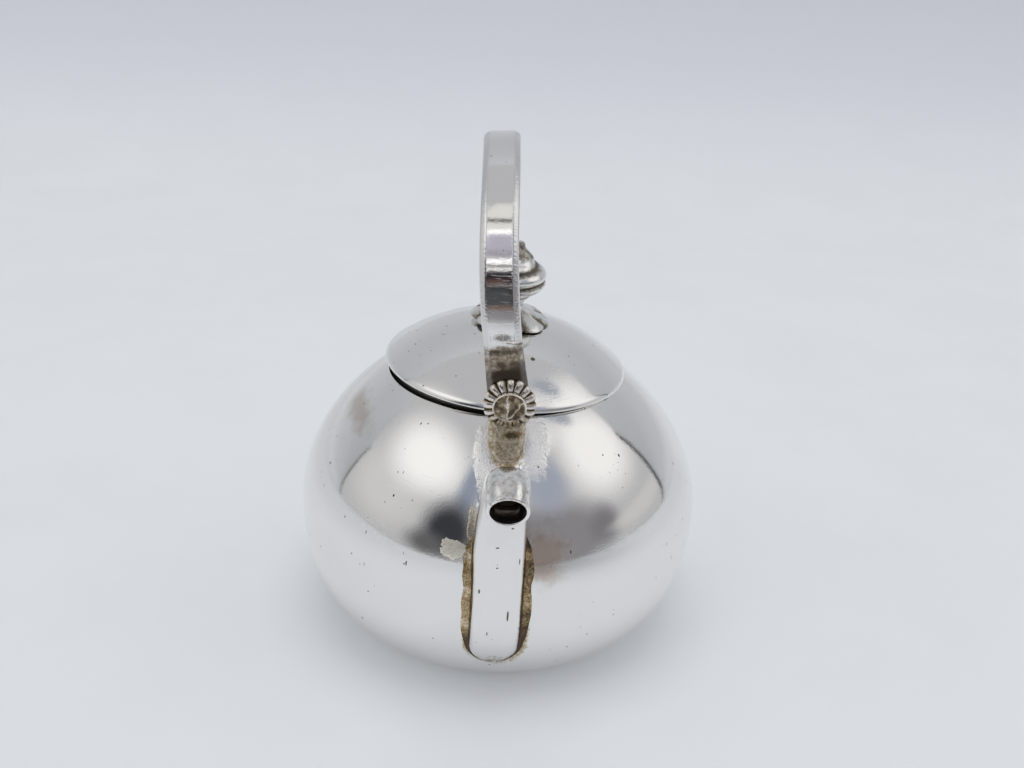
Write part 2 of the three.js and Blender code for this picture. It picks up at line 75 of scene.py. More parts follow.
# Spout: its middle climbs by share of the height and distance off the body
SPOUT_FOOT_HEIGHT = 4.85
SPOUT_CREST_HEIGHT = 20.3
SPOUT_MOUTH_HEIGHT = 19.6
SPOUT_OVERHANG = 4.3
SPOUT_CLIMB = ((-0.03, -1.55), (0.16, -0.7), (0.42, -0.4), (0.66, 1.1))
SPOUT_NECK_SHARE = 0.86
SPOUT_NECK_REACH = 0.26
SPOUT_CREST_REACH = 0.56
SPOUT_FOOT_WIDTH = 3.8
SPOUT_FOOT_SWAY = 0.33
SPOUT_SHOULDER = 0.3
SPOUT_SHOULDER_SHARE = 0.52
SPOUT_SHOULDER_REACH = 0.17
SPOUT_FOOT_DEPTH = 3.0
SPOUT_FOOT_SQUARENESS = 5.0
SPOUT_FOOT_ROUND = 0.11
SPOUT_START = 0.01
SPOUT_TUBE_DIAMETER = 2.9
SPOUT_LIP = 0.26
SPOUT_LIP_BULGE = SPOUT_LIP * 0.4
SPOUT_WALL = 0.25

# Lugs, rivets and rosettes, outwards from the lid along the pivot axis
LID_RADIUS = 9.45
LUG_INNER = 10.3
LUG_OUTER = 11.4
LUG_FOOT_WIDTH = 1.9
LUG_NECK_WIDTH = 2.5
LUG_FLARE = 0.9
LUG_SWELL = 0.12
LUG_SQUARENESS = 2.6
LUG_STAIN = 0.2
LUG_STAIN_HEIGHT = 19.2
LUG_PIT_ACROSS = 0.3
LUG_PIT_HEIGHT = 20.9
LUG_PIT_HALF_WIDTH = 0.55
LUG_PIT_HALF_HEIGHT = 0.26
STRAP_INNER = 11.5
STRAP_OUTER = 12.5
ROSETTE_INNER = 12.6
ROSETTE_OUTER = 13.2
ROSETTE_RADIUS = 1.82
ROSETTE_FLUTES = 16
SHANK_RADIUS = 0.6
RIVET_HEAD_RADIUS = 1.2
RIVET_HEAD_THICKNESS = 0.35
RIVET_HEAD_FLATTENING = 0.89
RIVET_RIM_WIDTH = 0.18
RIVET_RIM_DEPTH = 0.12
RIVET_TAIL_RADIUS = 0.9
RIVET_TAIL_THICKNESS = 0.35

# Handle strap, about its pivot axis
HANDLE_RISE = 16.0
ARCH_RADIUS = 11.9
STRAP_THICKNESS = 1.0
STRAP_FOOT_WIDTH = 2.9
STRAP_TOP_WIDTH = 2.7
STRAP_BEVEL_WIDTH = 0.42
STRAP_BEVEL_DEPTH = 0.25
STRAP_EDGE_ROUND = 0.12
STRAP_BOW = 0.5
STRAP_FLARE_START = 0.3
STRAP_FLARE_END = 0.85
STRAP_NECK_SHARE = 0.93
STRAP_NECK_REACH = 1.9
STRAP_NECK_DRAW = 0.3
HANDLE_LEAN = math.radians(4)

# Lid and finial
LID_RISE = 3.75
LID_FULLNESS = 2.2
LID_EDGE = 0.3
LID_SHEET = 0.5
COLLAR_RADIUS = 8.8
COLLAR_WALL = 0.45
COLLAR_DEPTH = 2.0
LID_COCK = math.radians(2.3)
LID_PITCH = math.radians(1)
LID_ROLL = 0.28
LID_LOWER_EDGE = 0.06
LID_NICK_PLACE = Vector((1.86, -5.42, 24.33))
PETAL_RADIUS = 2.9
PETAL_RISE = 1.3
PETAL_EDGE = 0.3
PETAL_COUNT = 8
NECK_RADIUS = 0.9
BUD_RADIUS = 2.3
BUD_HEIGHT = 4.9
BUD_OUTLINE = (
    (0.39, 0.0), (0.4, 0.04), (0.6, 0.15), (0.86, 0.26), (0.99, 0.37), (1.0, 0.47), (0.9, 0.58),
    (0.7, 0.66), (0.54, 0.72), (0.46, 0.78), (0.3, 0.85), (0.18, 0.91), (0.15, 0.96), (0.07, 1.0),
)
BUD_LOBES = 2
BUD_TWIST = math.radians(750)
BUD_TURN = math.radians(112)
FINIAL_LEAN = math.radians(2.7)

# Clearances of the frame
SOLDER_GAP = 0.06
SEAT_GAP = 0.08

# Solder: fillets along the seams, and films that ran out over the body
FILLET_FILL = 0.12
FILLET_SINK = 0.12
FILM_MIDDLE = 0.02
FILM_THICKNESS = 0.07
FILM_SINK = 0.03
FILM_STAIN = 0.14

# Fineness of the meshes
TURN_STEPS = 256
FINE_STEPS = 96
CURVE_STEPS = 56
LIP_STEPS = 8
BORE_STEPS = 15
BORE_STEP = 0.02
SPOUT_RING_CROWDING = 1.3
LID_ROLL_STEPS = 12
FILM_STEPS = 12
FILLET_STEPS = 8
FILLET_POINTS = FILLET_STEPS + 4
SHARP_EDGE = math.radians(38)

BELLY_DROP = EQUATOR_HEIGHT / (1 - (BASE_RADIUS / BODY_RADIUS) ** BELLY_FULLNESS) ** (1 / BELLY_FULLNESS)


def lerp(a, b, share):
    return a + (b - a) * share


def smooth(share):
    held = min(max(share, 0.0), 1.0)
    return held * held * (3 - 2 * held)


def superellipse(share, fullness):
    return max(1 - share ** fullness, 0.0) ** (1 / fullness)


def body_radius_at(height, inset=0.0):
    rise = height - EQUATOR_HEIGHT
    axis = (SHOULDER_RISE if rise > 0 else BELLY_DROP) - inset
    fullness = SHOULDER_FULLNESS if rise > 0 else BELLY_FULLNESS
    return (BODY_RADIUS - inset) * superellipse(min(abs(rise) / axis, 1.0), fullness)


def shoulder_height_at(radius):
    return EQUATOR_HEIGHT + SHOULDER_RISE * superellipse(radius / BODY_RADIUS, SHOULDER_FULLNESS)


def outside_body(point):
    return math.hypot(point.x, point.y) - body_radius_at(point.z)


def body_normal(point, step=0.01):
    across = Vector((point.x, point.y, 0)).normalized()
    fall = (body_radius_at(point.z - step) - body_radius_at(point.z + step)) / (2 * step)
    return (across + Vector((0, 0, fall))).normalized()


def body_crossing(line):
    """First point, if any, where a line of points passes through the body's surface."""
    for a, b in zip(line, line[1:]):
        gap_a, gap_b = outside_body(a), outside_body(b)
        if gap_a * gap_b < 0:
            return [a.lerp(b, gap_a / (gap_a - gap_b))]
    return []


def bent(start, corner, end, share):
    """Point on the curve that leaves its start towards a corner and comes into its end from it."""
    return start * (1 - share) ** 2 + corner * 2 * share * (1 - share) + end * share ** 2


# Mesh shapes: each gives points and faces

def turn(profile, steps=TURN_STEPS):
    """Turns (radius, height) points about Z. A profile off the axis is a ring, else its ends are poles."""
    on_axis = profile[0][0] == 0
    rows = profile[1:-1] if on_axis else profile
    points = []
    for radius, height in rows:
        for i in range(steps):
            angle = 2 * math.pi * i / steps
            points.append(Vector((radius * math.cos(angle), radius * math.sin(angle), height)))
    faces = []
    spans = len(rows) - 1 if on_axis else len(rows)
    for row in range(spans):
        low = row * steps
        high = (row + 1) % len(rows) * steps
        for i in range(steps):
            k = (i + 1) % steps
            faces.append((low + i, low + k, high + k, high + i))
    if on_axis:
        ends = ((profile[0][1], 0, True), (profile[-1][1], (len(rows) - 1) * steps, False))
        for height, low, flip in ends:
            pole = len(points)
            points.append(Vector((0, 0, height)))
            for i in range(steps):
                edge = (low + i, low + (i + 1) % steps)
                faces.append((pole, *(reversed(edge) if flip else edge)))
    return points, faces


def loft(rings, looped=False):
    """Skin over rings of equal count, with a fan on each end unless the rings loop."""
    count = len(rings[0])
    points = [point for ring in rings for point in ring]
    faces = []
    for i in range(len(rings) if looped else len(rings) - 1):
        near = i * count
        far = (i + 1) % len(rings) * count
        for j in range(count):
            k = (j + 1) % count
            faces.append((near + j, near + k, far + k, far + j))
    if not looped:
        for start, flip in ((0, True), (len(points) - count, False)):
            middle = len(points)
            points.append(sum(points[start:start + count], Vector()) / count)
            for j in range(count):
                edge = (start + j, start + (j + 1) % count)
                faces.append((middle, *(reversed(edge) if flip else edge)))
    return points, faces


def round_corners(corners, radius, steps=5):
    """Closed outline with each corner replaced by a short curve."""
    outline = []
    count = len(corners)
    for i, corner in enumerate(corners):
        here = Vector(corner)
        before = Vector(corners[i - 1]) - here
        after = Vector(corners[(i + 1) % count]) - here
        reach = min(radius, before.length / 2.2, after.length / 2.2)
        start = here + before.normalized() * reach
        end = here + after.normalized() * reach
        outline += [tuple(bent(start, here, end, step / steps)) for step in range(steps + 1)]
    return outline


def rounded_section(half_width, half_depth, squareness, count=FINE_STEPS):
    section = []
    for i in range(count):
        angle = 2 * math.pi * (i + 0.5) / count
        across = math.copysign(abs(math.cos(angle)) ** (2 / squareness), math.cos(angle))
        depth = math.copysign(abs(math.sin(angle)) ** (2 / squareness), math.sin(angle))
        section.append((half_width * across, half_depth * depth))
    return section


def ring_across(place, direction, section):
    """Ring across a path in the YZ plane, from offsets along X and towards the inside of the bend."""
    inward = Vector((0, direction.z, -direction.y)).normalized()
    return [place + inward * depth + Vector((across, 0, 0)) for across, depth in section]


def solder_fillet(seam, rises, spreads, looped=False):
    """Hollow strip along a seam on the body, from up the standing wall to out on the body."""
    rings = []
    count = len(seam)
    for i, spot in enumerate(seam):
        before = seam[i - 1] if looped or i else spot
        after = seam[(i + 1) % count] if looped or i + 1 < count else spot
        up = body_normal(spot)
        out = (after - before).normalized().cross(up).normalized()
        high = spot + up * rises[i]
        far = spot + out * spreads[i]
        corner = spot + (up * rises[i] + out * spreads[i]) * FILLET_FILL
        ring = [bent(high, corner, far, step / FILLET_STEPS) for step in range(FILLET_STEPS + 1)]
        down = up * FILLET_SINK
        inward = out * FILLET_SINK
        ring += [far - down, spot - down - inward, high - inward]
        rings.append(ring)
    return loft(rings, looped)


def solder_film(middle, half, seed):
    """Thin ragged film on the front of the body, about a middle of across and height."""
    rings = []
    for row in range(FILM_STEPS + 1):
        share = max(row / FILM_STEPS, FILM_MIDDLE)
        ring = []
        for i in range(FINE_STEPS):
            angle = 2 * math.pi * i / FINE_STEPS
            spot = Vector((math.cos(angle), math.sin(angle), seed))
            ragged = 1 + 0.4 * noise.noise(spot * 1.7) + 0.16 * noise.noise(spot * 5.3)
            x = middle[0] + half[0] * share * ragged * spot.x
            z = middle[1] + half[1] * share * ragged * spot.y
            radius = body_radius_at(z) + FILM_THICKNESS * (1 - share ** 4) - FILM_SINK
            ring.append(Vector((x, -math.sqrt(radius ** 2 - x ** 2), z)))
        rings.append(ring)
    return loft(rings)


def hand_made(points, depth, coarseness, seed):
    """Moves points by a slow noise, as planishing leaves a surface, but not where the kettle stands."""
    shift = Vector((seed * 17.3, seed * 5.1, seed * 9.7))
    return [p + noise.noise_vector((p + shift) / coarseness) * depth * smooth(p.z / 2) for p in points]


def moved(shape, matrix):
    points, faces = shape
    return [matrix @ p for p in points], faces


# Pieces

def add_piece(name, shape, body, nodes, finish, marks=None):
    points, faces = shape
    mesh = bpy.data.meshes.new(name)
    mesh.from_pydata([p * MM for p in points], [], faces)
    mesh.shade_smooth()
    mesh.set_sharp_from_angle(angle=SHARP_EDGE)
    for mark, values in (marks or {}).items():
        mesh.attributes.new(mark, "FLOAT", "POINT").data.foreach_set("value", values)
    mesh.materials.append(finish)
    piece = bpy.data.objects.new(name, mesh)
    bpy.context.scene.collection.objects.link(piece)
    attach(piece, body)
    if nodes:
        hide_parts(*nodes)


def body_curve(mouth_radius, inset=0.0):
    """Points of the body's side view, from its foot to its mouth."""
    radius = BODY_RADIUS - inset
    curve = []
    quadrants = (
        (body_radius_at(0, inset), -(BELLY_DROP - inset), BELLY_FULLNESS, range(CURVE_STEPS, 0, -1)),
        (mouth_radius, SHOULDER_RISE - inset, SHOULDER_FULLNESS, range(CURVE_STEPS + 1)),
    )
    for end_radius, axis, fullness, order in quadrants:
        end = math.acos((end_radius / radius) ** (fullness / 2))
        for i in order:
            angle = end * i / CURVE_STEPS
            across = radius * math.cos(angle) ** (2 / fullness)
            curve.append((across, EQUATOR_HEIGHT + axis * math.sin(angle) ** (2 / fullness)))
    return curve


def catmull(points, share):
    """Point on a centripetal Catmull-Rom curve through the points."""
    spot = (len(points) - 1) * share
    i = min(int(spot), len(points) - 2)
    u = spot - i
    p1, p2 = points[i], points[i + 1]
    p0 = points[i - 1] if i else p1 * 2 - p2
    p3 = points[i + 2] if i + 2 < len(points) else p2 * 2 - p1
    d0, d1, d2 = (max((b - a).length, 1e-6) ** 0.5 for a, b in ((p0, p1), (p1, p2), (p2, p3)))
    m1 = ((p1 - p0) / d0 - (p2 - p0) / (d0 + d1) + (p2 - p1) / d1) * d1
    m2 = ((p2 - p1) / d1 - (p3 - p1) / (d1 + d2) + (p3 - p2) / d2) * d1
    bend = (p1 - p2) * 2 + m1 + m2
    lean = (p2 - p1) * 3 - m1 * 2 - m2
    return ((bend * u + lean) * u + m1) * u + p1


def spout_points():
    points = []
    for share, standoff in SPOUT_CLIMB:
        height = lerp(SPOUT_FOOT_HEIGHT, SPOUT_CREST_HEIGHT, share)
        points.append(Vector((0, -body_radius_at(height) - standoff, height)))
    neck = lerp(SPOUT_FOOT_HEIGHT, SPOUT_CREST_HEIGHT, SPOUT_NECK_SHARE)
    points.append(Vector((0, -BODY_RADIUS - SPOUT_NECK_REACH * SPOUT_OVERHANG, neck)))
    points.append(Vector((0, -BODY_RADIUS - SPOUT_CREST_REACH * SPOUT_OVERHANG, SPOUT_CREST_HEIGHT)))
    points.append(Vector((0, -BODY_RADIUS - SPOUT_OVERHANG, SPOUT_MOUTH_HEIGHT)))
    return points


def spout_ring(points, share, inset, ahead=0.0):
    step = 0.002
    place = catmull(points, share)
    before = catmull(points, max(share - step, 0))
    direction = (catmull(points, min(share + step, 1)) - before).normalized()
    rounding = superellipse(max(1 - share / SPOUT_FOOT_ROUND, 0), 2)
    fuller = SPOUT_SHOULDER * math.exp(-((share - SPOUT_SHOULDER_SHARE) / SPOUT_SHOULDER_REACH) ** 2)
    width = rounding * lerp(SPOUT_FOOT_WIDTH, SPOUT_TUBE_DIAMETER, share) + fuller
    depth = lerp(SPOUT_FOOT_DEPTH, SPOUT_TUBE_DIAMETER, share)
    section = rounded_section(width / 2 - inset, depth / 2 - inset, lerp(SPOUT_FOOT_SQUARENESS, 2, share))
    sway = Vector((-SPOUT_FOOT_SWAY * (1 - share) - fuller / 3, 0, 0))
    return ring_across(place + direction * ahead + sway, direction, section)


def spout_rings():
    """Rings of the outside, from the foot to the lip, closer together at the foot."""
    points = spout_points()
    count = 2 * FINE_STEPS
    shares = [(i / count) ** SPOUT_RING_CROWDING for i in range(count + 1)]
    return [spout_ring(points, lerp(SPOUT_START, 1, share), 0) for share in shares]


def spout_seam():
    """Line where the spout's sides meet the body, from the left top round the foot to the right top."""
    left, right = [], []
    for ring in spout_rings():
        quarter = len(ring) // 4
        for side, half in ((left, ring[quarter:-quarter]), (right, ring[-quarter:] + ring[:quarter])):
            side += body_crossing(half)
    return left[::-1] + right


def spout_shape():
    """Spout with a rolled lip and an open bore, and marks: dull over its bend, darker down its right flank
    and at its foot, and 2 inside the bore, which is painted shade.
    """
    points = spout_points()
    rings = spout_rings()
    for i in range(1, LIP_STEPS):
        angle = math.pi * i / LIP_STEPS
        inset = SPOUT_LIP / 2 * (1 - math.cos(angle))
        rings.append(spout_ring(points, 1, inset, SPOUT_LIP_BULGE * math.sin(angle)))
    outside = len(rings)
    for i in range(BORE_STEPS):
        share = 1 - BORE_STEP * i
        rings.append(spout_ring(points, share, lerp(SPOUT_LIP, SPOUT_WALL, smooth(i / 4))))
    marks = []
    for i, ring in enumerate(rings):
        middle = sum(ring, Vector()) / len(ring)
        reach = max(p.x for p in ring) - middle.x
        for p in ring:
            flank = 0.5 * smooth(((p.x - middle.x) / reach - 0.8) / 0.2) * smooth((17.5 - p.z) / 2)
            bend = 0.33 * smooth((p.z - 19.2) / 1.2)
            foot = 0.75 * max(1 - max(outside_body(p), 0.0) / 0.5, 0.0)
            # Points of the bore get 2: painted shade inside the tube.
            marks.append(max(flank, bend, foot) if i < outside else 2.0)
    return loft(rings), marks + [0.0, 2.0]


def lug_rings():
    foot = shoulder_height_at(LUG_OUTER + LUG_FLARE) - BODY_WALL
    top = LUG_NECK_WIDTH / 2
    straight = PIVOT_HEIGHT - top
    rings = []
    for i in range(41):
        share = i / 40
        flare = LUG_FLARE * max(1 - share / 0.9, 0.0) ** 1.3
        width = lerp(LUG_FOOT_WIDTH, LUG_NECK_WIDTH, smooth(share * 1.3))
        half_width = width / 2 + LUG_SWELL * math.sin(math.pi * share)
        rings.append(lug_ring(lerp(foot, straight, share), half_width, flare))
    for i in range(1, 17):
        angle = 0.47 * math.pi * i / 16
        rings.append(lug_ring(PIVOT_HEIGHT + top * math.sin(angle), top * math.cos(angle), 0))
    return rings


def lug_ring(height, half_width, flare):
    place = Vector((0, -(LUG_INNER + LUG_OUTER + flare) / 2, height))
    section = rounded_section(half_width, (LUG_OUTER - LUG_INNER + flare) / 2, LUG_SQUARENESS)
    return ring_across(place, Vector((0, 0, 1)), section)


def lug_seam():
    """Closed line where the lug's foot meets the shoulder."""
    return [spot for column in zip(*lug_rings()) for spot in body_crossing(column)]


def lobe(angle, count):
    """Wave of round lobes with sharp grooves, 1 on a crest and 0 in a groove."""
    return abs(math.cos(count * angle / 2)) ** 0.7


def rosette_shape():
    hole = SHANK_RADIUS + SOLDER_GAP
    height = ROSETTE_OUTER - ROSETTE_INNER
    inner = RIVET_HEAD_RADIUS * 0.93
    skirt = [(ROSETTE_RADIUS * 0.97, 0.0, 1.0), (ROSETTE_RADIUS, 0.12, 1.0)]
    for i in range(13):
        angle = math.pi / 2 * i / 12
        radius = lerp(inner, ROSETTE_RADIUS, math.cos(angle))
        skirt.append((radius, height * (0.3 + 0.7 * math.sin(angle)), 1.0 - 0.5 * i / 12))
    profile = [(hole, 0.0, 0.0), *skirt, (hole, height, 0.0)]
    steps = ROSETTE_FLUTES * 16
    rings, hollows = [], []
    for i in range(steps):
        angle = -2 * math.pi * i / steps
        about = Vector((math.cos(angle), math.sin(angle), 4.0))
        crest = lobe(angle + 0.1 * noise.noise(about * 2.1), ROSETTE_FLUTES) ** 0.75
        uneven = 1 + 0.6 * noise.noise(about * 2.3)
        tone = 0.32 * noise.noise(about * 3.7)
        ring = []
        for radius, rise, share in profile:
            reach = radius * (1 + share * (0.09 * (crest - 0.75) + 0.08 * tone))
            lift = rise - share * 0.26 * uneven * (1 - crest) * rise / height
            ring.append(Vector((reach * math.cos(angle), reach * math.sin(angle), ROSETTE_INNER + lift)))
            # The lower half of the rosette is darkened: painted shade.
            dirt_and_shade = 0.6 * smooth((-reach * math.sin(angle) - 0.3) / 1.2)
            hollows.append(max(share * (1 - crest) * 2.2, dirt_and_shade) + share * tone)
        rings.append(ring)
    return loft(rings, looped=True), hollows


def rivet_shape():
    """Rivet with a beaten face inside a ragged rim, and marks that are 1 in the hollows of the face."""
    tail = LUG_INNER - SOLDER_GAP
    head = ROSETTE_OUTER + SOLDER_GAP
    face = head + RIVET_HEAD_THICKNESS
    outline = [
        (RIVET_TAIL_RADIUS * 0.8, tail - RIVET_TAIL_THICKNESS), (RIVET_TAIL_RADIUS, tail - 0.12),
        (RIVET_TAIL_RADIUS, tail), (SHANK_RADIUS, tail), (SHANK_RADIUS, head), (RIVET_HEAD_RADIUS, head),
        (RIVET_HEAD_RADIUS, face - RIVET_RIM_DEPTH), (RIVET_HEAD_RADIUS - 0.02, face - 0.04),
        (RIVET_HEAD_RADIUS - 0.06, face), (RIVET_HEAD_RADIUS - 0.11, face - 0.02),
        (RIVET_HEAD_RADIUS - RIVET_RIM_WIDTH, face - 0.1),
    ]
    floor = face - RIVET_RIM_DEPTH
    beaten = [(RIVET_HEAD_RADIUS - RIVET_RIM_WIDTH) * (1 - i / 14) for i in range(1, 14)]
    outline += [(radius, floor) for radius in beaten]
    points, faces = turn([(0, tail - RIVET_TAIL_THICKNESS), *outline, (0, floor)], FINE_STEPS)
    marks = []
    for p in points:
        on_face = smooth((p.z - face + 0.2) / 0.06)
        inside = on_face * smooth((RIVET_HEAD_RADIUS - 0.05 - math.hypot(p.x, p.y)) / 0.12)
        flat = Vector((p.x, p.y, 0.0))
        dent = noise.noise(flat * 2.6 + Vector((3.1, 0.4, 7.7)))
        wander = 0.14 * noise.noise(flat * 2.2 + Vector((9.0, 2.0, 1.0)))
        upright = abs(p.x + 0.12 + wander)
        slanting = abs(p.x * 0.82 - p.y * 0.57 - 0.5 + wander)
        crease = 1 - smooth(min(upright, slanting) / 0.09)
        p.z += on_face * (0.05 * dent + 0.04 * crease * inside - 0.06)
        marks.append(inside * (0.58 - 0.5 * dent) * (1 - 0.85 * crease))
        if p.z >= head:
            p.y *= RIVET_HEAD_FLATTENING
    return (points, faces), marks


def strap_stations():
    """Reach, height and half-width along the strap, from the front foot over the arch to the rear foot."""
    foot = (STRAP_INNER + STRAP_OUTER) / 2
    arch = ARCH_RADIUS - STRAP_THICKNESS / 2
    arch_height = HANDLE_RISE - ARCH_RADIUS
    end = STRAP_FOOT_WIDTH / 2
    flare = STRAP_FLARE_END - STRAP_FLARE_START
    half = []
    for i in range(13):
        angle = 0.49 * math.pi * (1 - i / 12)
        half.append((foot, -end * math.sin(angle), end * math.cos(angle)))
    for i in range(1, 25):
        share = i / 24
        reach = lerp(foot, arch, smooth((share - STRAP_FLARE_START) / flare))
        half_width = lerp(STRAP_FOOT_WIDTH, STRAP_TOP_WIDTH, smooth(share)) / 2
        half.append((reach, arch_height * share, half_width))
    for i in range(1, 73):
        angle = math.pi / 2 * i / 72
        half.append((arch * math.cos(angle), arch_height + arch * math.sin(angle), STRAP_TOP_WIDTH / 2))
    necked = []
    for reach, height, half_width in half:
        off = (height - STRAP_NECK_SHARE * arch_height) / STRAP_NECK_REACH
        draw = STRAP_NECK_DRAW * math.cos(math.pi / 2 * min(max(off, -1), 1)) ** 2
        necked.append((reach - draw, height, half_width))
    front = [(-reach, height, half_width) for reach, height, half_width in necked]
    return front + necked[-2::-1]


def strap_shape():
    """Strap with bevelled outer edges, and marks that are 1 on the bevels."""
    stations = strap_stations()
    places = []
    for reach, height, _ in stations:
        bow = STRAP_BOW * math.sin(math.pi * max(height, 0) / HANDLE_RISE) if reach < 0 else 0.0
        places.append(Vector((-bow, reach, height)))
    face = STRAP_THICKNESS / 2
    corner_steps = 5
    ups = [step / corner_steps for step in range(corner_steps + 1)]
    flat = [0.0] * (corner_steps + 1)
    bevel_marks = [*flat, *flat, *ups, *reversed(ups), *ups, *reversed(ups)]
    rings = []
    for i, (_, _, half_width) in enumerate(stations):
        direction = places[min(i + 1, len(places) - 1)] - places[max(i - 1, 0)]
        bevel = min(STRAP_BEVEL_WIDTH, half_width / 2)
        side = STRAP_BEVEL_DEPTH - face
        corners = [
            (half_width, face), (-half_width, face), (-half_width, side),
            (bevel - half_width, -face), (half_width - bevel, -face), (half_width, side),
        ]
        section = round_corners(corners, STRAP_EDGE_ROUND, corner_steps)
        rings.append(ring_across(places[i], direction, section))
    return loft(rings), bevel_marks * len(rings) + [0.0, 0.0]


def lid_height_at(radius):
    return LID_EDGE + (LID_RISE - LID_EDGE) * (1 - (radius / LID_RADIUS) ** LID_FULLNESS)


def lid_shape():
    flat = LID_RADIUS * (1 - (LID_SHEET - LID_EDGE) / (LID_RISE - LID_EDGE)) ** (1 / LID_FULLNESS)
    profile = [(0, LID_RISE - LID_SHEET)]
    for i in range(1, CURVE_STEPS + 1):
        radius = flat * i / CURVE_STEPS
        profile.append((radius, lid_height_at(radius) - LID_SHEET))
    profile.append((LID_RADIUS - LID_LOWER_EDGE, 0.0))
    low = Vector((LID_RADIUS, LID_LOWER_EDGE))
    bend = Vector((LID_RADIUS, LID_EDGE))
    high = Vector((LID_RADIUS - LID_ROLL, lid_height_at(LID_RADIUS - LID_ROLL)))
    profile += [tuple(bent(low, bend, high, i / LID_ROLL_STEPS)) for i in range(LID_ROLL_STEPS + 1)]
    for i in range(CURVE_STEPS - 1, 0, -1):
        radius = (LID_RADIUS - LID_ROLL) * i / CURVE_STEPS
        profile.append((radius, lid_height_at(radius)))
    profile.append((0, LID_RISE))
    return turn(profile)


def collar_shape():
    inner = COLLAR_RADIUS - COLLAR_WALL
    top = lid_height_at(COLLAR_RADIUS) - LID_SHEET - SOLDER_GAP
    corners = [(inner, -COLLAR_DEPTH), (COLLAR_RADIUS, -COLLAR_DEPTH), (COLLAR_RADIUS, top), (inner, top)]
    return turn(round_corners(corners, 0.1))


def petals_shape():
    reach = PETAL_RADIUS * 1.09
    tip = lid_height_at(reach) - LID_RISE + reach * math.tan(FINIAL_LEAN) + SEAT_GAP
    outline = [
        (0.56, SEAT_GAP, 0.0), (1.45, SEAT_GAP, 0.0), (2.2, 0.06, 0.5), (PETAL_RADIUS, tip, 1.0),
        (PETAL_RADIUS * 1.02, tip + PETAL_EDGE * 0.5, 1.0), (PETAL_RADIUS * 0.97, tip + PETAL_EDGE, 1.0),
        (2.45, 0.44, 0.95), (2.05, 0.62, 0.8), (1.65, 0.8, 0.6), (1.3, 0.97, 0.4), (1.05, 1.14, 0.2),
        (NECK_RADIUS, PETAL_RISE, 0.0), (0.56, PETAL_RISE, 0.0),
    ]
    steps = PETAL_COUNT * 20
    rings, hollows = [], []
    for i in range(steps):
        angle = -2 * math.pi * i / steps
        crest = lobe(angle, PETAL_COUNT)
        ring = []
        for radius, height, share in outline:
            out = radius * (1 + share * 0.12 * (crest - 0.45))
            knobs = 0.16 * noise.noise(Vector((out * math.cos(angle), out * math.sin(angle), 3.0)) * 1.9)
            lift = height + (share * (knobs - 0.16 * (1 - crest)) if height > 0.3 else 0)
            ring.append(Vector((out * math.cos(angle), out * math.sin(angle), lift)))
            hollows.append(share * (1 - crest))
        rings.append(ring)
    return loft(rings, looped=True), hollows


def bud_shape():
    base = PETAL_RISE + SOLDER_GAP
    knots = [Vector((BUD_RADIUS * radius, share)) for radius, share in BUD_OUTLINE]
    steps = BUD_LOBES * 64
    rows = 128
    rings, hollows = [], []
    for row in range(rows + 1):
        radius, share = catmull(knots, row / rows)
        swell = math.sin(math.pi * min(max(share, 0), 1)) ** 0.6
        ring = []
        for i in range(steps):
            angle = 2 * math.pi * i / steps
            crest = lobe(angle - BUD_TURN - BUD_TWIST * share, BUD_LOBES)
            reach = radius * (1 + 0.17 * swell * (crest - 0.68))
            ring.append(Vector((reach * math.cos(angle), reach * math.sin(angle), base + BUD_HEIGHT * share)))
            hollows.append(max(1.3 * swell * (1 - crest), 0.62 * smooth((share - 0.7) / 0.1)))
        rings.append(ring)
    return loft(rings), hollows + [0.0, 0.0]


# Places of the groups that lean
LID_LIFTED = MOUTH_RADIUS * math.hypot(math.sin(LID_COCK), math.sin(LID_PITCH))
LID_PLACE = (
    Matrix.Translation((MOUTH_RADIUS * (1 - math.cos(LID_COCK)), 0, MOUTH_HEIGHT + SEAT_GAP + LID_LIFTED))
    @ Matrix.Rotation(LID_PITCH, 4, "X") @ Matrix.Rotation(LID_COCK, 4, "Y")
)
FINIAL_PLACE = LID_PLACE @ Matrix.Translation((0, 0, LID_RISE)) @ Matrix.Rotation(FINIAL_LEAN, 4, "Y")
HANDLE_PLACE = Matrix.Translation((0, 0, PIVOT_HEIGHT)) @ Matrix.Rotation(-HANDLE_LEAN, 4, "Y")
PIVOT_PLACE = Matrix.Translation((0, 0, PIVOT_HEIGHT)) @ Matrix.Rotation(math.pi / 2, 4, "X")


# Finishes

def place(tree, kind, inputs=None, **settings):
    made = tree.nodes.new(kind)
    for key, value in settings.items():
        setattr(made, key, value)
    for key, value in (inputs or {}).items():
        socket = made.inputs[key]
        if isinstance(value, bpy.types.NodeSocket):
            tree.links.new(value, socket)
        else:
            socket.default_value = value
    return made


def maths(tree, operation, a, b=0.0, clamp=False):
    return place(tree, "ShaderNodeMath", {0: a, 1: b}, operation=operation, use_clamp=clamp).outputs[0]


def ramp(tree, value, low, high, start=0.0, end=1.0):
    made = place(
        tree, "ShaderNodeMapRange",
        {"Value": value, "From Min": low, "From Max": high, "To Min": start, "To Max": end},
        interpolation_type="SMOOTHSTEP",
    )
    return made.outputs["Result"]


def blend(tree, share, a, b):
    made = place(tree, "ShaderNodeMix", data_type="RGBA")
    for index, value in ((0, share), (6, a), (7, b)):
        if isinstance(value, bpy.types.NodeSocket):
            tree.links.new(value, made.inputs[index])
        else:
            made.inputs[index].default_value = value if index == 0 else (*value, 1)
    return made.outputs[2]


def object_coords(tree):
    return place(tree, "ShaderNodeTexCoord").outputs["Object"]


def axes(tree, vector):
    split = place(tree, "ShaderNodeSeparateXYZ", {"Vector": vector})
    return [split.outputs[axis] for axis in "XYZ"]


def hypotenuse(tree, a, b):
    squares = maths(tree, "ADD", maths(tree, "MULTIPLY", a, a), maths(tree, "MULTIPLY", b, b))
    return maths(tree, "SQRT", squares)


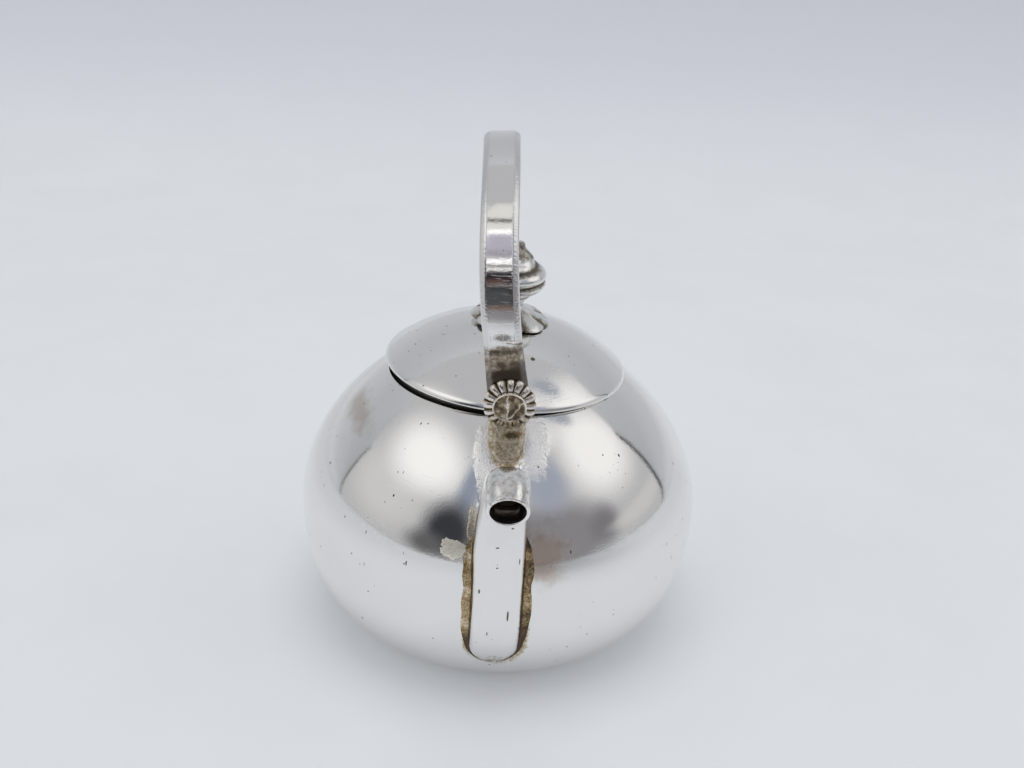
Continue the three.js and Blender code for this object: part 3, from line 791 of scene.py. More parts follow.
def new_finish(name):
    material = bpy.data.materials.new(name)
    material.use_nodes = True
    return material, material.node_tree, material.node_tree.nodes["Principled BSDF"]


def new_group(name, inputs, outputs):
    tree = bpy.data.node_groups.new(name, "ShaderNodeTree")
    for label, kind, value in inputs:
        socket = tree.interface.new_socket(label, in_out="INPUT", socket_type=kind)
        socket.default_value = value
    for label, kind in outputs:
        tree.interface.new_socket(label, in_out="OUTPUT", socket_type=kind)
    return tree, tree.nodes.new("NodeGroupInput"), tree.nodes.new("NodeGroupOutput")


def grain(tree, coords, scale, detail=3.0, roughness=0.55):
    made = place(tree, "ShaderNodeTexNoise", {
        "Vector": coords, "Scale": scale, "Detail": detail, "Roughness": roughness,
    })
    return made.outputs["Fac"]


def stretched(tree, coords, turn_by, scales):
    made = place(tree, "ShaderNodeMapping", {"Vector": coords, "Rotation": turn_by, "Scale": scales})
    return made.outputs["Vector"]


def build_polish_group():
    """Hairline scratches, wiping haze and tiny pits of hand-polished silver."""
    tree, source, result = new_group(
        "hand_polish",
        [("Scratches", "NodeSocketFloat", 1.0), ("Pits", "NodeSocketFloat", 1.0)],
        [("Gloss Loss", "NodeSocketFloat"), ("Height", "NodeSocketFloat"), ("Pit Mask", "NodeSocketFloat")],
    )
    coords = object_coords(tree)
    lines = None
    directions = (
        ((0.3, 0.2, 0.4), (900.0, 900.0, 14000.0)),
        ((0.1, 1.2, 0.7), (11000.0, 800.0, 800.0)),
        ((1.0, 0.4, 2.1), (700.0, 700.0, 9000.0)),
    )
    for turn_by, scales in directions:
        fine = grain(tree, stretched(tree, coords, turn_by, scales), 1.0, 1.0)
        cut = ramp(tree, fine, 0.66, 0.74)
        lines = cut if lines is None else maths(tree, "MAXIMUM", lines, cut)
    patch = ramp(tree, grain(tree, coords, 140.0), 0.42, 0.62)
    lines = maths(tree, "MULTIPLY", maths(tree, "MULTIPLY", lines, patch), source.outputs["Scratches"])
    cells = place(tree, "ShaderNodeTexVoronoi", {"Vector": coords, "Scale": 950.0, "Randomness": 1.0})
    near = ramp(tree, cells.outputs["Distance"], 0.035, 0.085, 1.0, 0.0)
    rare = ramp(tree, grain(tree, coords, 260.0, 2.0), 0.48, 0.56)
    dashes = grain(tree, stretched(tree, coords, (0.5, 0.3, 0.6), (3600.0, 3600.0, 620.0)), 1.0, 1.0)
    nicks = maths(tree, "MULTIPLY", ramp(tree, dashes, 0.745, 0.775), rare)
    pits = maths(tree, "MAXIMUM", maths(tree, "MULTIPLY", near, rare), nicks)
    pits = maths(tree, "MULTIPLY", pits, source.outputs["Pits"])
    haze = ramp(tree, grain(tree, coords, 90.0, 4.0, 0.6), 0.35, 0.75)
    loss = maths(tree, "ADD", maths(tree, "MULTIPLY", haze, 0.35), maths(tree, "MULTIPLY", lines, 0.8))
    swell = maths(tree, "MULTIPLY", grain(tree, coords, 420.0, 2.0), 0.6)
    fine = maths(tree, "MULTIPLY", grain(tree, coords, 5200.0, 3.0), 0.7)
    height = maths(tree, "SUBTRACT", maths(tree, "ADD", swell, fine), maths(tree, "MULTIPLY", lines, 0.5))
    height = maths(tree, "SUBTRACT", height, maths(tree, "MULTIPLY", pits, 2.0))
    tree.links.new(loss, result.inputs["Gloss Loss"])
    tree.links.new(height, result.inputs["Height"])
    tree.links.new(pits, result.inputs["Pit Mask"])
    return tree


def build_tarnish_group():
    """Tarnish, grey to golden by its warmth, broken up round a marked place and brown where it is deep."""
    tree, source, result = new_group(
        "silver_tarnish",
        [
            ("Marked", "NodeSocketFloat", 0.0), ("Spread", "NodeSocketFloat", 0.3),
            ("Scale", "NodeSocketFloat", 900.0), ("Warmth", "NodeSocketFloat", 1.0),
        ],
        [("Colour", "NodeSocketColor"), ("Mask", "NodeSocketFloat")],
    )
    coords = object_coords(tree)
    rough_edge = grain(tree, coords, source.outputs["Scale"], 5.0, 0.65)
    broken = maths(tree, "SUBTRACT", maths(tree, "ADD", source.outputs["Marked"], rough_edge), 0.72)
    held = maths(tree, "ADD", broken, maths(tree, "MULTIPLY", source.outputs["Spread"], 0.4))
    finer = maths(tree, "MULTIPLY", source.outputs["Scale"], 1.7)
    tone = ramp(tree, grain(tree, coords, finer, 4.0), 0.38, 0.66)
    grey = blend(tree, tone, (0.24, 0.225, 0.185), (0.56, 0.54, 0.49))
    gold = blend(tree, tone, (0.33, 0.21, 0.085), (0.64, 0.52, 0.32))
    light = blend(tree, source.outputs["Warmth"], grey, gold)
    colour = blend(tree, ramp(tree, held, 0.3, 0.75), light, (0.10, 0.072, 0.045))
    tree.links.new(colour, result.inputs["Colour"])
    tree.links.new(ramp(tree, held, 0.0, 0.42), result.inputs["Mask"])
    return tree


POLISH = build_polish_group()
TARNISH = build_tarnish_group()


def piece_mark(name):
    """Source of a mark that the piece's own points carry."""
    return lambda tree: place(tree, "ShaderNodeAttribute", attribute_name=name).outputs["Fac"]


def oval_distance(tree, a, b, middle, half):
    """Distance from the middle of an oval, 1 on its edge."""
    across = maths(tree, "DIVIDE", maths(tree, "SUBTRACT", a, middle[0]), half[0])
    along = maths(tree, "DIVIDE", maths(tree, "SUBTRACT", b, middle[1]), half[1])
    return hypotenuse(tree, across, along)


def distance_from(tree, coords, spot):
    """Distance in metres from a spot that is given in millimetres."""
    made = place(tree, "ShaderNodeVectorMath", {0: coords, 1: spot * MM}, operation="DISTANCE")
    return made.outputs["Value"]


def front_spots(tree, spots):
    """Soft spots on the front half, each an oval of across and height in millimetres with its strength."""
    coords = object_coords(tree)
    x, y, z = axes(tree, coords)
    ragged = maths(tree, "MULTIPLY", maths(tree, "SUBTRACT", grain(tree, coords, 900.0, 4.0), 0.5), 1.1)
    held = None
    for middle, half, strength in spots:
        far = oval_distance(tree, x, z, [v * MM for v in middle], [v * MM for v in half])
        spot = ramp(tree, maths(tree, "ADD", far, ragged), 0.2, 1.0, strength, 0.0)
        held = spot if held is None else maths(tree, "MAXIMUM", held, spot)
    return maths(tree, "MULTIPLY", held, ramp(tree, y, -0.003, -0.001, 1.0, 0.0))


def body_blush(tree):
    """Rusty breath on the belly right of the spout and on the left of the shoulder."""
    return front_spots(tree, (((2.9, 13.2), (2.4, 2.8), 0.75), ((-11.2, 19.2), (1.6, 1.5), 0.6)))


def body_frost(tree):
    """Scuffed places where the front lug was cleaned up after soldering."""
    return front_spots(tree, (((-1.4, 19.2), (0.95, 2.3), 1.0), ((2.0, 19.6), (1.2, 2.1), 1.0)))


def body_stain(tree):
    """Mark beside the spout's foot line and round the front lug."""
    seam = spout_seam()
    wide = (max(p.x for p in seam) - min(p.x for p in seam)) / 2 * MM
    narrow = (seam[-1].x - seam[0].x) / 2 * MM
    top = max(p.z for p in seam) * MM
    round_middle = min(p.z for p in seam) * MM + wide
    coords = object_coords(tree)
    x, y, z = axes(tree, coords)
    front = ramp(tree, y, -0.004, -0.002, 1.0, 0.0)
    sway = ramp(tree, z, SPOUT_FOOT_HEIGHT * MM, SPOUT_CREST_HEIGHT * MM, SPOUT_FOOT_SWAY * MM, 0.0)
    off = maths(tree, "ADD", x, sway)
    half_width = ramp(tree, z, round_middle, top, wide, narrow)
    below = maths(tree, "MAXIMUM", maths(tree, "SUBTRACT", round_middle, z), 0.0)
    gap = maths(tree, "SUBTRACT", hypotenuse(tree, off, below), half_width)
    gap = maths(tree, "MULTIPLY", gap, ramp(tree, off, -0.0005, 0.0005, 1.25, 0.8))
    depth = ramp(tree, z, round_middle - wide, round_middle + 0.002, 0.45, 0.85)
    beside = maths(tree, "MULTIPLY", ramp(tree, gap, 0.0002, 0.0009, 1.0, 0.0), depth)
    beside = maths(tree, "MULTIPLY", beside, ramp(tree, z, top - 0.001, top, 1.0, 0.0))
    on_front = maths(tree, "MULTIPLY", beside, front)
    lug_foot = distance_from(tree, coords, Vector((0.0, -LUG_OUTER, LUG_STAIN_HEIGHT)))
    return maths(tree, "MAXIMUM", on_front, ramp(tree, lug_foot, 0.0008, 0.0018, 0.6, 0.0))


def spout_marks(tree):
    """The marks that the spout's points carry, painted shade inside the bore among them, and a few nicks in
    its front.
    """
    nicks = front_spots(tree, (
        ((0.55, 9.3), (0.1, 0.55), 1.5), ((0.47, 17.2), (0.18, 0.14), 1.5), ((-0.46, 15.2), (0.2, 0.12), 1.3),
        ((-1.55, 11.3), (0.09, 0.25), 1.3), ((-0.4, 13.4), (0.14, 0.08), 1.3),
    ))
    return maths(tree, "MAXIMUM", piece_mark("stain")(tree), nicks)


def strap_painted_reflection(tree):
    """Painted reflection of the rosette and lug on the strap's feet over the rosettes, higher in the middle
    and in streaks across, laid on in tarnish colours.
    """
    coords = object_coords(tree)
    x, _, z = axes(tree, coords)
    lower = ramp(tree, maths(tree, "ABSOLUTE", x), 0.0007, 0.0014, 0.0, 0.0006)
    height = maths(tree, "ADD", z, lower)
    streaks = grain(tree, stretched(tree, coords, (0.0, 0.1, 0.0), (420.0, 420.0, 3200.0)), 1.0, 3.0)
    uneven = maths(tree, "MULTIPLY", maths(tree, "SUBTRACT", streaks, 0.5), 0.0026)
    line = maths(tree, "ADD", height, uneven)
    broad = ramp(tree, line, (PIVOT_HEIGHT + 3.6) * MM, (PIVOT_HEIGHT + 4.5) * MM, 0.6, 0.0)
    deep = ramp(tree, line, (PIVOT_HEIGHT + 1.7) * MM, (PIVOT_HEIGHT + 3.3) * MM, 0.5, 0.0)
    return maths(tree, "ADD", broad, deep)


def lid_nick(tree):
    """Mark of one nick in the lid, right of the handle."""
    coords = object_coords(tree)
    return ramp(tree, distance_from(tree, coords, LID_NICK_PLACE), 0.00012, 0.00024, 1.6, 0.0)


BLUSH_TINT = (0.55, 0.43, 0.35)
FILED_TINT = (0.42, 0.42, 0.43)
FILED_SHARE = 0.25
PIT_TINT = (0.05, 0.045, 0.04)
FILE_DEPTH = 12.0
FROST_DEPTH = 40.0


def silver_finish(
    name, colour, gloss, stain, mark=None, spread=0.0, tarnish_scale=900.0, warmth=1.0,
    scratches=1.0, pits=1.0, filed=None, grit=0.0, frost=None, blush=None,
):
    """Silver with scratches and pits, tarnished, filed, scuffed and flushed where a piece is marked so."""
    material, tree, shader = new_finish(name)
    polish = place(tree, "ShaderNodeGroup", node_tree=POLISH)
    polish.inputs["Scratches"].default_value = scratches
    polish.inputs["Pits"].default_value = pits
    dull = place(tree, "ShaderNodeGroup", node_tree=TARNISH)
    dull.inputs["Spread"].default_value = spread
    dull.inputs["Scale"].default_value = tarnish_scale
    dull.inputs["Warmth"].default_value = warmth
    if mark:
        tree.links.new(mark(tree), dull.inputs["Marked"])
    mask = maths(tree, "MULTIPLY", dull.outputs["Mask"], stain, clamp=True)
    base = blend(tree, mask, colour, dull.outputs["Colour"])
    if blush:
        base = blend(tree, blush(tree), base, BLUSH_TINT)
    if filed:
        base = blend(tree, maths(tree, "MULTIPLY", filed(tree), FILED_SHARE), base, FILED_TINT)
    base = blend(tree, polish.outputs["Pit Mask"], base, PIT_TINT)
    tree.links.new(base, shader.inputs["Base Color"])
    loss = maths(tree, "ADD", maths(tree, "MULTIPLY", polish.outputs["Gloss Loss"], 0.12), gloss)
    rough = maths(tree, "ADD", loss, maths(tree, "MULTIPLY", mask, 0.28))
    tree.links.new(rough, shader.inputs["Roughness"])
    shader.inputs["Metallic"].default_value = 1.0
    height = polish.outputs["Height"]
    coords = object_coords(tree)
    if filed:
        strokes = grain(tree, stretched(tree, coords, (0.0, 0.0, 0.0), (700.0, 6500.0, 6500.0)), 1.0, 2.0)
        cuts = maths(tree, "MULTIPLY", filed(tree), FILE_DEPTH)
        height = maths(tree, "ADD", height, maths(tree, "MULTIPLY", strokes, cuts))
    if grit:
        grains = grain(tree, coords, 6500.0, 4.0, 0.7)
        height = maths(tree, "ADD", height, maths(tree, "MULTIPLY", grains, grit))
    if frost:
        scuffs = grain(tree, coords, 7600.0, 3.0, 0.6)
        depth = maths(tree, "MULTIPLY", frost(tree), FROST_DEPTH)
        height = maths(tree, "ADD", height, maths(tree, "MULTIPLY", scuffs, depth))
    bump = place(tree, "ShaderNodeBump", {"Strength": 0.18, "Distance": 0.00002, "Height": height})
    tree.links.new(bump.outputs["Normal"], shader.inputs["Normal"])
    return material


SILVER = (0.90, 0.89, 0.875)
body_finish = silver_finish(
    "polished_body_silver", SILVER, 0.075, 0.95, body_stain, tarnish_scale=3600.0,
    frost=body_frost, blush=body_blush,
)
lid_finish = silver_finish("polished_lid_silver", SILVER, 0.08, 0.9, lid_nick)
# The strap's feet carry a painted reflection of the rosette and lug, in tarnish colours.
strap_finish = silver_finish(
    "polished_strap_silver", SILVER, 0.07, 0.95, strap_painted_reflection, tarnish_scale=2400.0, warmth=0.5,
    scratches=1.4, filed=piece_mark("bevel"),
)
spout_finish = silver_finish(
    "polished_spout_silver", SILVER, 0.075, 0.9, spout_marks, tarnish_scale=2600.0, warmth=0.25,
    scratches=1.2, pits=2.0,
)
bud_finish = silver_finish(
    "cast_bud_silver", (0.86, 0.85, 0.83), 0.13, 0.9, piece_mark("hollow"), 0.05, 2600.0, 0.1, grit=2.0,
)
petal_finish = silver_finish(
    "cast_petal_silver", (0.84, 0.83, 0.81), 0.16, 0.9, piece_mark("hollow"), 0.2, 2600.0, 0.15, grit=5.0,
)
rosette_finish = silver_finish(
    "worn_rosette_silver", (0.82, 0.77, 0.73), 0.16, 1.0, piece_mark("hollow"), 0.2, 2600.0, 0.6, grit=2.0,
)
rivet_finish = silver_finish(
    "worn_rivet_silver", (0.84, 0.79, 0.71), 0.16, 0.95, piece_mark("hollow"), 0.35, 3200.0, 0.7, grit=3.0,
)
lug_finish = silver_finish(
    "tarnished_lug_silver", (0.78, 0.72, 0.62), 0.24, 0.95, piece_mark("stain"), 0.65, 3200.0, 0.85, grit=5.0,
)
gold_solder_finish = silver_finish(
    "golden_solder", (0.84, 0.78, 0.66), 0.24, 1.0, piece_mark("stain"), 0.45, 5200.0, 1.0, grit=6.0,
)
pale_solder_finish = silver_finish(
    "pale_solder", (0.95, 0.91, 0.80), 0.42, 0.6, piece_mark("stain"), 0.35, 5200.0, 0.8, grit=14.0,
)
inner_finish = silver_finish("unpolished_inner_silver", (0.62, 0.61, 0.59), 0.3, 0.6, None, 0.4, 500.0)
seat_finish = silver_finish("darkened_seat_silver", (0.2, 0.185, 0.165), 0.4, 0.8, None, 0.5, 900.0)


# The kettle's own pieces

foot_edge = body_curve(MOUTH_RADIUS)
inside_edge = body_curve(MOUTH_RADIUS, BODY_WALL)
body_points, body_faces = turn([*foot_edge, *reversed(inside_edge)])
body_points = hand_made(body_points, 0.018, 7.0, 1)
add_piece("kettle_body", (body_points, body_faces), "kettle", ["body_shell"], body_finish)

base_radius = body_radius_at(0, BODY_WALL) - SOLDER_GAP
base_corners = [(base_radius, 0.0), (base_radius, BASE_THICKNESS)]
add_piece(
    "kettle_base", turn([(0, 0.0), *base_corners, (0, BASE_THICKNESS)]), "kettle", ["base_disc"],
    lid_finish,
)

shape, dirt_and_shade = spout_shape()
add_piece("kettle_spout", shape, "kettle", ["spout"], spout_finish, {"stain": dirt_and_shade})


def spout_solder():
    """Solder down both sides of the spout, thin round its foot, darker on the right and against the wall."""
    seam = spout_seam()
    low = min(p.z for p in seam)
    high = max(p.z for p in seam)
    rises, spreads, stains = [], [], []
    for p in seam:
        fullness = smooth((high - p.z) / 2.5) * lerp(0.15, 1.0, smooth((p.z - low - 0.4) / 3.6))
        uneven = fullness * (1 + 0.3 * noise.noise(p * 0.8))
        right = smooth(p.x + 0.5)
        rises.append(0.05 + 0.3 * uneven)
        spreads.append(0.06 + 0.62 * uneven)
        deep = 0.3 * (1 - fullness) + 0.3 * smooth((low + 4.5 - p.z) / 3)
        stain = lerp(0.4, 0.56, right) + 0.3 * noise.noise(p * 1.3) + deep
        stains += [stain + 0.5 * max(1 - k / 2.5, 0.0) for k in range(FILLET_POINTS)]
    return solder_fillet(seam, rises, spreads), stains + [0.5, 0.5]


shape, stains = spout_solder()
add_piece("spout_solder", shape, "kettle", [], gold_solder_finish, {"stain": stains})
solder_films = (
    ("spout_solder_flood", (-3.5, 13.5), (1.15, 0.75), 3.0, pale_solder_finish),
    ("spout_solder_run", (-2.25, 15.3), (0.36, 1.3), 8.0, gold_solder_finish),
)
for name, middle, half, seed, finish in solder_films:
    shape = solder_film(middle, half, seed)
    add_piece(name, shape, "kettle", [], finish, {"stain": [FILM_STAIN] * len(shape[0])})


def lug_stain(point):
    """Stain of a lug at one of its points, deeper in a flat pit on its front."""
    across = (point.x - LUG_PIT_ACROSS) / LUG_PIT_HALF_WIDTH
    along = (point.z - LUG_PIT_HEIGHT) / LUG_PIT_HALF_HEIGHT
    return LUG_STAIN + 0.5 * smooth(1.4 - math.hypot(across, along))


for side, turned_by in (("front", 0.0), ("rear", math.pi)):
    about = Matrix.Rotation(turned_by, 4, "Z")
    outward = about @ PIVOT_PLACE
    shape = loft(lug_rings())
    pitted = [lug_stain(p) for p in shape[0]]
    add_piece(
        f"{side}_handle_lug", moved(shape, about), "kettle", [f"{side}_lug"],
        lug_finish, {"stain": pitted},
    )
    foot_line = lug_seam()
    rises = [0.12 + 0.06 * noise.noise(p * 1.1) for p in foot_line]
    spreads = [0.13 + 0.08 * noise.noise(p * 0.9) for p in foot_line]
    shape = solder_fillet(foot_line, rises, spreads, looped=True)
    add_piece(
        f"{side}_lug_solder", moved(shape, about), "kettle", [],
        lug_finish, {"stain": [LUG_STAIN] * (FILLET_POINTS * len(foot_line))},
    )
    shape, hollows = rosette_shape()
    add_piece(
        f"{side}_handle_rosette", moved(shape, outward), "kettle", [f"{side}_rosette"],
        rosette_finish, {"hollow": hollows},
    )
    shape, hollows = rivet_shape()
    add_piece(
        f"{side}_handle_rivet", moved(shape, outward), "kettle", [f"{side}_rivet"],
        rivet_finish, {"hollow": hollows},
    )

shape, bevels = strap_shape()
add_piece(
    "kettle_handle", moved(shape, HANDLE_PLACE), "handle", ["handle_strap"],
    strap_finish, {"bevel": bevels},
)

lid_points, lid_faces = lid_shape()
lid_points = hand_made(lid_points, 0.012, 5.0, 2)
add_piece(
    "kettle_lid", moved((lid_points, lid_faces), LID_PLACE), "lid", ["lid_dome"],
    lid_finish,
)
add_piece("lid_seat", moved(collar_shape(), LID_PLACE), "lid", ["lid_collar"], seat_finish)
shape, hollows = petals_shape()
add_piece(
    "finial_calyx", moved(shape, FINIAL_PLACE), "lid", ["finial_petals"], petal_finish,
    {"hollow": hollows},
)
shape, hollows = bud_shape()
add_piece(
    "finial_knob", moved(shape, FINIAL_PLACE), "lid", ["finial_bud"], bud_finish,
    {"hollow": hollows},
)
for node in ("finial_pin", "finial_burr"):
    for material_slot in frame["nodes"][node].material_slots:
        material_slot.material = inner_finish


# Camera at the photograph's angle
LENS_PIXELS = 1199.6
IMAGE_WIDTH = 1024
SENSOR_WIDTH = 36.0
CAMERA_DISTANCE = 96.0
CAMERA_TILT = math.radians(23.37)
CAMERA_ROLL = math.radians(3.27)
CAMERA_AROUND = math.radians(-2.4)
CAMERA_AIM = Vector((0.63, 0, 19.86))

ahead = Vector((0, math.cos(CAMERA_TILT), -math.sin(CAMERA_TILT)))
level = Vector((1, 0, 0))
upward = level.cross(ahead)
tilted_right = level * math.cos(CAMERA_ROLL) + upward * math.sin(CAMERA_ROLL)
tilted_up = upward * math.cos(CAMERA_ROLL) - level * math.sin(CAMERA_ROLL)
pose = Matrix((tilted_right, tilted_up, -ahead)).transposed().to_4x4()
pose.translation = (CAMERA_AIM - ahead * CAMERA_DISTANCE) * MM
lens = bpy.data.cameras.new("camera")
lens.sensor_width = SENSOR_WIDTH
lens.lens = LENS_PIXELS * SENSOR_WIDTH / IMAGE_WIDTH
lens.clip_start = 0.005
camera = bpy.data.objects.new("camera", lens)
camera.matrix_world = Matrix.Rotation(CAMERA_AROUND, 4, "Z") @ pose
bpy.context.scene.collection.objects.link(camera)
bpy.context.scene.camera = camera


# Set: a pale sheet that runs from the table up behind the kettle
SHEET_FRONT = -0.15
SHEET_BACK = 0.177
SHEET_BEND = 0.05
SHEET_TOP = 0.4
SHEET_LEFT = -0.75
SHEET_RIGHT = 0.51
SHEET_EDGE = 0.07
SHEET_EDGE_RISE = 0.001
PAPER_LIFT = 0.19


def azimuth_of(tree, x, y):
    """Degrees from the front of the kettle round to the right."""
    around = maths(tree, "ARCTAN2", x, maths(tree, "MULTIPLY", y, -1.0))
    return maths(tree, "MULTIPLY", around, 180 / math.pi)


def room_shade(tree, coords):
    """Share of the light that the sheet loses towards the room, most of it in front and to the right."""
    x, y, z = axes(tree, coords)
    azimuth = azimuth_of(tree, x, y)
    most = ramp(tree, azimuth, -14.0, 22.0, 0.12, 0.46)
    most = maths(tree, "SUBTRACT", most, ramp(tree, azimuth, 24.0, 90.0, 0.0, 0.37))
    most = maths(tree, "SUBTRACT", most, ramp(tree, azimuth, 120.0, 150.0, 0.0, 0.18))
    most = maths(tree, "MULTIPLY", most, ramp(tree, z, 0.004, 0.02, 1.0, 0.0))
    return maths(tree, "MULTIPLY", most, ramp(tree, hypotenuse(tree, x, y), 0.025, 0.095))


def paper_finish():
    material, tree, shader = new_finish("pale_paper")
    coords = object_coords(tree)
    tone = ramp(tree, grain(tree, coords, 60.0), 0.3, 0.7)
    paper = blend(tree, tone, (0.748, 0.771, 0.795), (0.763, 0.786, 0.81))
    height = axes(tree, coords)[2]
    rays = place(tree, "ShaderNodeLightPath").outputs
    rise = maths(tree, "MULTIPLY", ramp(tree, height, 0.0, 0.025), rays["Is Camera Ray"])
    paper = blend(tree, rise, paper, (0.72, 0.733, 0.79))
    wall_shade = ramp(tree, height, 0.04, 0.17, 0.0, 0.14)
    shade = maths(tree, "ADD", room_shade(tree, coords), wall_shade)
    shade = maths(tree, "MULTIPLY", shade, rays["Is Glossy Ray"])
    paper = blend(tree, shade, paper, (0.03, 0.03, 0.032))
    tree.links.new(paper, shader.inputs["Base Color"])
    seen = maths(tree, "ADD", rays["Is Camera Ray"], rays["Is Glossy Ray"], clamp=True)
    tree.links.new(paper, shader.inputs["Emission Color"])
    tree.links.new(maths(tree, "MULTIPLY", seen, PAPER_LIFT), shader.inputs["Emission Strength"])
    shader.inputs["Roughness"].default_value = 0.9
    shader.inputs["Specular IOR Level"].default_value = 0.1
    return material


# Near-black finish for the sheet's edges: painted shadow where the sheet lies off the table.
def edge_shadow_finish():
    material, _, shader = new_finish("shaded_paper_edge")
    shader.inputs["Base Color"].default_value = (0.1, 0.1, 0.105, 1)
    shader.inputs["Roughness"].default_value = 1.0
    return material


def paper_sheet():
    """One sheet with a dark edge on its front and sides, where it lies off the table: a painted shadow strip.
    """
    line = [(SHEET_FRONT, SHEET_EDGE_RISE), (SHEET_FRONT, 0.0), (SHEET_BACK - SHEET_BEND, 0.0)]
    for i in range(1, 25):
        angle = math.pi / 2 * i / 24
        line.append((SHEET_BACK - SHEET_BEND * (1 - math.sin(angle)), SHEET_BEND * (1 - math.cos(angle))))
    line.append((SHEET_BACK, SHEET_TOP))
    across = (SHEET_LEFT - SHEET_EDGE, SHEET_LEFT, SHEET_RIGHT, SHEET_RIGHT + SHEET_EDGE)
    points = [(x, y, z) for y, z in line for x in across]
    mesh = bpy.data.meshes.new("paper_sheet")
    faces = [
        (4 * i + j, 4 * i + j + 1, 4 * i + j + 5, 4 * i + j + 4)
        for i in range(len(line) - 1) for j in range(3)
    ]
    mesh.from_pydata(points, [], faces)
    mesh.shade_smooth()
    mesh.set_sharp_from_angle(angle=SHARP_EDGE)
    mesh.materials.append(paper_finish())
    mesh.materials.append(edge_shadow_finish())
    for index, face in enumerate(mesh.polygons):
        face.material_index = int(index < 3 or index % 3 != 1)
    sheet = bpy.data.objects.new("paper_sheet", mesh)
    bpy.context.scene.collection.objects.link(sheet)


paper_sheet()


# Room that the silver mirrors: middle, half size, softness of the edge and tint, in degrees round and up.
# Later ones lie over earlier ones.
ROOM_PATCHES = (
    ((-76.0, 22.0), (26.0, 16.0), 0.6, (0.62, 0.62, 0.62)),
    ((-66.0, 48.0), (34.0, 15.0), 0.6, (0.98, 0.98, 0.97)),
    ((-23.0, 45.0), (8.0, 18.0), 0.6, (0.27, 0.3, 0.38)),
    ((87.0, 44.5), (29.0, 20.0), 0.55, (0.95, 0.94, 0.93)),
    ((60.0, 70.0), (22.0, 8.0), 0.6, (0.82, 0.82, 0.82)),
    ((101.0, 65.0), (9.5, 7.5), 0.4, (0.36, 0.39, 0.44)),
    ((24.0, 11.0), (42.0, 24.0), 0.3, (0.245, 0.24, 0.255)),
    ((25.0, 3.0), (12.0, 12.0), 0.6, (0.34, 0.335, 0.345)),
    ((34.0, 47.0), (16.0, 16.0), 0.5, (0.35, 0.38, 0.46)),
    ((62.0, 12.0), (9.0, 10.0), 0.6, (0.2, 0.195, 0.21)),
    ((90.0, 8.0), (22.0, 4.5), 0.5, (0.58, 0.58, 0.58)),
    ((-29.5, 16.0), (14.5, 18.5), 0.5, (0.04, 0.042, 0.05)),
    ((-40.0, 4.0), (11.0, 8.0), 0.7, (0.12, 0.12, 0.125)),
)
STRAP_PANELS = (
    ((0.0, 70.0), (26.0, 9.5), 1.5, (0.76, 0.76, 0.73)),
    ((0.0, 47.1), (15.0, 12.9), 0.6, (1.25, 1.25, 1.25)),
    ((0.0, 47.7), (12.0, 8.9), 0.8, (0.47, 0.45, 0.53)),
    ((0.0, 42.3), (12.0, 2.4), 2.0, (0.33, 0.32, 0.36)),
    ((0.0, 31.8), (15.0, 2.2), 0.4, (1.15, 1.15, 1.15)),
    ((0.0, 33.8), (15.0, 1.1), 0.4, (0.03, 0.03, 0.033)),
    ((0.0, 17.3), (15.0, 13.3), 0.8, (0.015, 0.014, 0.018)),
    ((-5.0, 23.0), (6.0, 1.6), 1.2, (0.12, 0.065, 0.055)),
    ((0.0, 20.5), (15.0, 0.35), 0.3, (0.7, 0.66, 0.64)),
    ((0.0, 11.0), (13.0, 6.8), 2.0, (0.07, 0.075, 0.078)),
    ((6.0, 16.5), (4.0, 2.4), 1.5, (0.03, 0.03, 0.035)),
    ((0.0, 4.6), (13.0, 1.2), 1.0, (0.2, 0.13, 0.11)),
    ((0.0, 66.5), (22.0, 1.1), 0.4, (0.03, 0.03, 0.03)),
)
ROOM_LOW = (0.50, 0.50, 0.51)
ROOM_HIGH = (0.49, 0.49, 0.51)


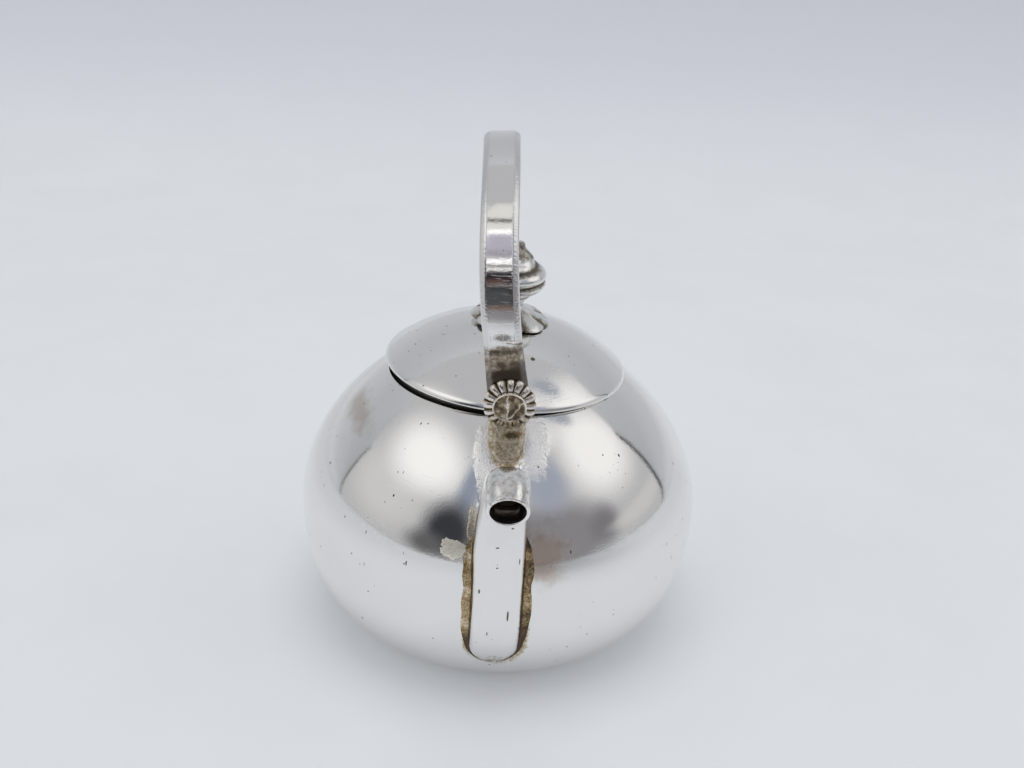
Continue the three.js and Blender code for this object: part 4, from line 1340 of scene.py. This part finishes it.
def soft_panel(tree, azimuth, elevation, spot, half, edge):
    """Mask of a soft-edged panel of the room, by its azimuth and elevation in degrees."""
    across = maths(tree, "ABSOLUTE", maths(tree, "SUBTRACT", azimuth, spot[0]))
    up = maths(tree, "ABSOLUTE", maths(tree, "SUBTRACT", elevation, spot[1]))
    wide = ramp(tree, across, half[0] - edge, half[0] + edge, 1.0, 0.0)
    tall = ramp(tree, up, half[1] - edge, half[1] + edge, 1.0, 0.0)
    return maths(tree, "MULTIPLY", wide, tall)


def soft_patch(tree, azimuth, elevation, spot, half, edge):
    """Mask of a soft oval patch of the room, by its azimuth and elevation in degrees."""
    return ramp(tree, oval_distance(tree, azimuth, elevation, spot, half), 1 - edge, 1 + edge, 1.0, 0.0)


def room_world():
    """Dim room in front of the sheet, with bright and dark patches, as the silver mirrors it."""
    world = bpy.data.worlds.new("room")
    bpy.context.scene.world = world
    world.use_nodes = True
    tree = world.node_tree
    direction = place(tree, "ShaderNodeTexCoord").outputs["Generated"]
    x, y, z = axes(tree, direction)
    azimuth = azimuth_of(tree, x, y)
    elevation = maths(tree, "MULTIPLY", maths(tree, "ARCSINE", z), 180 / math.pi)
    colour = blend(tree, ramp(tree, elevation, 0.0, 70.0), ROOM_LOW, ROOM_HIGH)
    for spot, half, edge, tint in ROOM_PATCHES:
        colour = blend(tree, soft_patch(tree, azimuth, elevation, spot, half, edge), colour, tint)
    for spot, half, edge, tint in STRAP_PANELS:
        colour = blend(tree, soft_panel(tree, azimuth, elevation, spot, half, edge), colour, tint)
    tree.links.new(colour, tree.nodes["Background"].inputs["Color"])
    tree.nodes["Background"].inputs["Strength"].default_value = 1.0


room_world()


SOFTBOX_PLACE = (0, -0.05, 0.7)
SOFTBOX_SIZE = 0.5
SOFTBOX_POWER = 1.135


def soft_light(name, spot, size, power):
    """Round lamp aimed at the foot of the kettle, which the silver doesn't mirror."""
    lamp = bpy.data.lights.new(name, "AREA")
    lamp.shape = "DISK"
    lamp.size = size
    lamp.energy = power
    holder = bpy.data.objects.new(name, lamp)
    holder.location = spot
    holder.rotation_euler = (-Vector(spot)).to_track_quat("-Z", "Y").to_euler()
    holder.visible_glossy = False
    bpy.context.scene.collection.objects.link(holder)


soft_light("overhead_softbox", SOFTBOX_PLACE, SOFTBOX_SIZE, SOFTBOX_POWER)
bpy.context.scene.view_settings.view_transform = "Standard"
